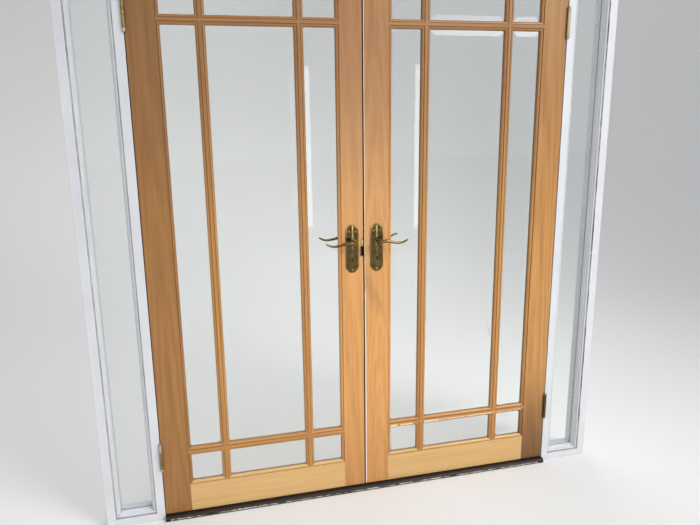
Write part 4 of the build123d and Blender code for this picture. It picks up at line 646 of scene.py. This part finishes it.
def aged_brass(name, tints, bare, smooth, marks=()):
    """Brass with its tarnish: tints go from the tarnish to the bare metal, bare sets how much of it shows and
    smooth how well it was polished."""
    made, tree = new_material(name)
    place = add(tree, "ShaderNodeTexCoord").outputs["Object"]
    cloud = add(tree, "ShaderNodeTexNoise",
                {"Vector": place, "Scale": 70.0, "Detail": 6.0, "Roughness": 0.65})
    spots = add(tree, "ShaderNodeTexNoise", {"Vector": place, "Scale": 420.0, "Detail": 3.0})
    tone = add(tree, "ShaderNodeMath", {0: cloud, 1: 1.1, 2: bare - 0.7}, operation="MULTIPLY_ADD")
    tone = add(tree, "ShaderNodeMath", {0: spots, 1: 0.3, 2: tone}, operation="MULTIPLY_ADD")
    metal = add(tree, "ShaderNodeValToRGB", {"Fac": tone},
                ((0.0, tints[0]), (0.4, tints[1]), (0.7, tints[2]), (1.0, tints[3])))
    metal = metal.outputs[0]
    for wear in marks:
        metal = mark(tree, place, metal, **wear)
    rough = add(tree, "ShaderNodeMath", {0: cloud, 1: -0.12, 2: smooth + 0.06}, operation="MULTIPLY_ADD")
    wave = add(tree, "ShaderNodeTexNoise", {"Vector": place, "Scale": 38.0, "Detail": 1.0})
    bump = add(tree, "ShaderNodeBump", {"Height": wave, "Strength": 0.12, "Distance": 0.8 * MM})
    skin = add(tree, "ShaderNodeBsdfPrincipled", {"Base Color": metal, "Roughness": rough, "Metallic": 1.0,
                                                  "Normal": bump})
    add(tree, "ShaderNodeOutputMaterial", {"Surface": skin})
    return made


def plain_steel():
    """Bright drawn steel gone grey: a dull, even shine."""
    made, tree = new_material("drawn_steel")
    place = add(tree, "ShaderNodeTexCoord").outputs["Object"]
    cloud = add(tree, "ShaderNodeTexNoise", {"Vector": place, "Scale": 90.0, "Detail": 5.0})
    metal = add(tree, "ShaderNodeValToRGB", {"Fac": cloud}, ((0.3, "#8C8A85"), (0.7, "#B5B3AE")))
    rough = add(tree, "ShaderNodeMath", {0: cloud, 1: 0.3, 2: 0.25}, operation="MULTIPLY_ADD")
    skin = add(tree, "ShaderNodeBsdfPrincipled", {"Base Color": metal, "Roughness": rough, "Metallic": 1.0})
    add(tree, "ShaderNodeOutputMaterial", {"Surface": skin})
    return made


def screw_heads(names):
    """Middle of the head's top, outward direction, head radius and length of each screw in some nodes."""
    found = []
    for name in names:
        merged = bmesh.new()
        merged.from_mesh(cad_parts[name].data)
        bmesh.ops.remove_doubles(merged, verts=merged.verts, dist=0.01 * MM)
        left = set(merged.verts)
        while left:
            screw, reach = set(), [left.pop()]
            while reach:
                corner = reach.pop()
                screw.add(corner)
                near = {edge.other_vert(corner) for edge in corner.link_edges} & left
                left -= near
                reach += near
            low = Vector([min(v.co[i] for v in screw) for i in range(3)])
            high = Vector([max(v.co[i] for v in screw) for i in range(3)])
            size, middle = high - low, (low + high) / 2
            axis = min(range(3), key=lambda i: abs(size[i - 1] - size[i - 2]))
            widest = max(screw,
                         key=lambda v: (v.co - middle).length_squared - (v.co[axis] - middle[axis]) ** 2)
            facing = Vector((0.0, 0.0, 0.0))
            facing[axis] = 1.0 if widest.co[axis] > middle[axis] else -1.0
            found.append((middle + facing * size[axis] / 2, facing, size[axis - 1] / 2, size[axis]))
        merged.free()
    return found


def screw_tree():
    """Raised countersunk heads with a slot, and their shanks, on points that carry each screw's direction,
    head radius and length. Each slot is left at the turn that the screwdriver left it."""
    tree, inside = new_geometry_tree("slotted_screws", ("Slot", "Float", 0.2), ("Seed", "Int", 7),
                                     ("Finish", "Material", None))
    facing = add(tree, "GeometryNodeInputNamedAttribute", {"Name": "facing"}, data_type="FLOAT_VECTOR")
    gauge = add(tree, "GeometryNodeInputNamedAttribute", {"Name": "gauge"}, data_type="FLOAT")
    length = add(tree, "GeometryNodeInputNamedAttribute", {"Name": "length"}, data_type="FLOAT")
    drum = add(tree, "GeometryNodeMeshCylinder", {"Vertices": 40, "Side Segments": 3, "Fill Segments": 5,
                                                  "Radius": 1.0, "Depth": 1.0}).outputs["Mesh"]
    spot = add(tree, "ShaderNodeSeparateXYZ", {0: add(tree, "GeometryNodeInputPosition")})
    level = add(tree, "ShaderNodeMath", {0: spot.outputs["Z"], 1: 0.5}, operation="ADD")
    waist = add(tree, "ShaderNodeMath", {0: level, 1: 0.5, 2: 0.5}, operation="MULTIPLY_ADD")
    around = add(tree, "ShaderNodeVectorMath",
                 {0: add(tree, "GeometryNodeInputPosition"), 1: (1.0, 1.0, 0.0)}, operation="MULTIPLY")
    outward = add(tree, "ShaderNodeVectorMath", {0: around}, operation="LENGTH").outputs["Value"]
    crown = add(tree, "ShaderNodeMath", {0: outward, 1: 2.0}, operation="POWER")
    crown = add(tree, "ShaderNodeMath", {0: crown, 1: -HEAD_CROWN, 2: -HEAD_SEAT}, operation="MULTIPLY_ADD")
    rise = add(tree, "ShaderNodeMath", {0: level, 1: 0.5, 2: crown}, operation="MULTIPLY_ADD")
    narrow = add(tree, "ShaderNodeVectorMath", {0: around, "Scale": waist}, operation="SCALE")
    up = add(tree, "ShaderNodeCombineXYZ", {"Z": rise})
    shaped = add(tree, "ShaderNodeVectorMath", {0: narrow, 1: up}, operation="ADD")
    drum = add(tree, "GeometryNodeSetPosition", {"Geometry": drum, "Position": shaped})
    groove = add(tree, "ShaderNodeCombineXYZ", {"X": 3.0, "Y": inside["Slot"], "Z": 0.5})
    groove = add(tree, "GeometryNodeMeshCube", {"Size": groove})
    groove = add(tree, "GeometryNodeTransform", {"Geometry": groove, "Translation": (0.0, 0.0, SLOT_CENTRE)})
    head = add(tree, "GeometryNodeMeshBoolean", {"Mesh 1": drum, "Mesh 2": groove}, operation="DIFFERENCE")
    shank = add(tree, "GeometryNodeMeshCone", {"Vertices": 16, "Radius Top": 0.45, "Radius Bottom": 0.25,
                                               "Depth": 0.97})
    shank = add(tree, "GeometryNodeTransform", {"Geometry": shank, "Translation": (0.0, 0.0, -1.0)})
    turn = add(tree, "FunctionNodeRandomValue", {2: 0.0, 3: 3.14, "Seed": inside["Seed"]}).outputs[1]
    turn = add(tree, "FunctionNodeAxisAngleToRotation", {"Axis": (0.0, 0.0, 1.0), "Angle": turn})
    aim = add(tree, "FunctionNodeAlignRotationToVector", {"Vector": facing}, axis="Z")
    aim = add(tree, "FunctionNodeRotateRotation", {"Rotation": aim, "Rotate By": turn},
              rotation_space="LOCAL")
    heads = add(tree, "GeometryNodeInstanceOnPoints", {"Points": inside["Geometry"], "Instance": head,
                                                       "Rotation": aim, "Scale": gauge})
    slim = add(tree, "ShaderNodeCombineXYZ", {"X": gauge, "Y": gauge, "Z": length})
    shanks = add(tree, "GeometryNodeInstanceOnPoints", {"Points": inside["Geometry"], "Instance": shank,
                                                        "Rotation": aim, "Scale": slim})
    both = add(tree, "GeometryNodeJoinGeometry", {"Geometry": [heads, shanks]})
    return finished(tree, inside, both)


def slotted_screws(name, body, stood_for, finish, seed):
    """One piece of slotted screws in the places of some plain CAD screws, which it replaces."""
    heads = screw_heads(stood_for)
    made = mesh_object(name, [middle for middle, *rest in heads])
    data = made.data.attributes
    facings = [part for head in heads for part in head[1]]
    data.new("facing", "FLOAT_VECTOR", "POINT").data.foreach_set("vector", facings)
    data.new("gauge", "FLOAT", "POINT").data.foreach_set("value", [head[2] for head in heads])
    data.new("length", "FLOAT", "POINT").data.foreach_set("value", [head[3] for head in heads])
    grown(made, screw_tree(), Seed=seed, Finish=finish)
    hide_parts(*stood_for)
    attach(made, body)


PAINTED_TIP = {"hexa": "#CFCCC4", "ragged": 0.7, "soft": 0.3, "strength": 0.8}
HINGE_TINTS = ("#51452C", "#7F7049", "#AB9868", "#DACB9C")
HANDLE_TINTS = ("#3A2F1C", "#6E5C38", "#8F774A", "#C4AA76")
FITTING_TINTS = ("#4A3C22", "#86703F", "#AD9257", "#D9C089")
# Grime and painted shade: near-black over the keep's pocket.
KEEP_GRIME_AND_SHADE = {"hexa": "#17100A", "centre": (-6.0, -6.0, 949.0), "half": (9.0, 14.0, 19.0), "ragged": 0.1}
hinge_marks = [dict(PAINTED_TIP, centre=(-HINGE_EDGE, HINGE_DEPTH, z), half=(60.0, 60.0, high))
               for z, high in PAINTED_TIPS]
hinge_marks.append({"hexa": "#D6CFB8", "centre": (HINGE_EDGE, HINGE_DEPTH, 1737.0),
                    "half": (60.0, 60.0, 48.0), "ragged": 1.6, "soft": 0.4, "strength": 0.6})
hinge_marks.append({"hexa": "#43331F", "centre": (HINGE_EDGE, HINGE_DEPTH, 249.0),
                    "half": (60.0, 60.0, 60.0), "ragged": 0.5, "soft": 0.4, "strength": 0.7})
hinge_brass = aged_brass("rolled_hinge_brass", HINGE_TINTS, 0.5, 0.28, hinge_marks)
handle_brass = aged_brass("cast_handle_brass", HANDLE_TINTS, 0.45, 0.17)
fitting_brass = aged_brass("pressed_fitting_brass", FITTING_TINTS, 0.60, 0.28)
steel = plain_steel()
for side in ("left", "right"):
    dress(hinge_brass, f"hinge_frame_plates_{side}", f"hinge_leaf_plates_{side}")
    dress(steel, f"hinge_pins_{side}", f"{side}_spindle")
    dress(handle_brass, f"{side}_plate_front", f"{side}_plate_back", f"{side}_lever_front",
          f"{side}_lever_back")
    slotted_screws(f"slotted_screws_{side}", f"leaf_{side}",
                   (f"hinge_screws_leaf_{side}", f"{side}_leaf_screws"), fitting_brass, 11)
slotted_screws("slotted_screws_frame", "frame", ("hinge_screws_frame",), hinge_brass, 12)
dress(fitting_brass, "hinge_screws_frame", "hinge_screws_leaf_left", "hinge_screws_leaf_right",
      "left_leaf_screws", "right_leaf_screws")
dress(aged_brass("struck_keep_brass", FITTING_TINTS, 0.75, 0.24, (KEEP_GRIME_AND_SHADE,)), "strike_plate")
dress(fitting_brass, "flush_bolt_plates", "flush_bolt_top", "flush_bolt_bottom", "lock_forend",
      "latch_bolt", "dead_bolt")
dress(steel, "lock_case", "lock_follower")
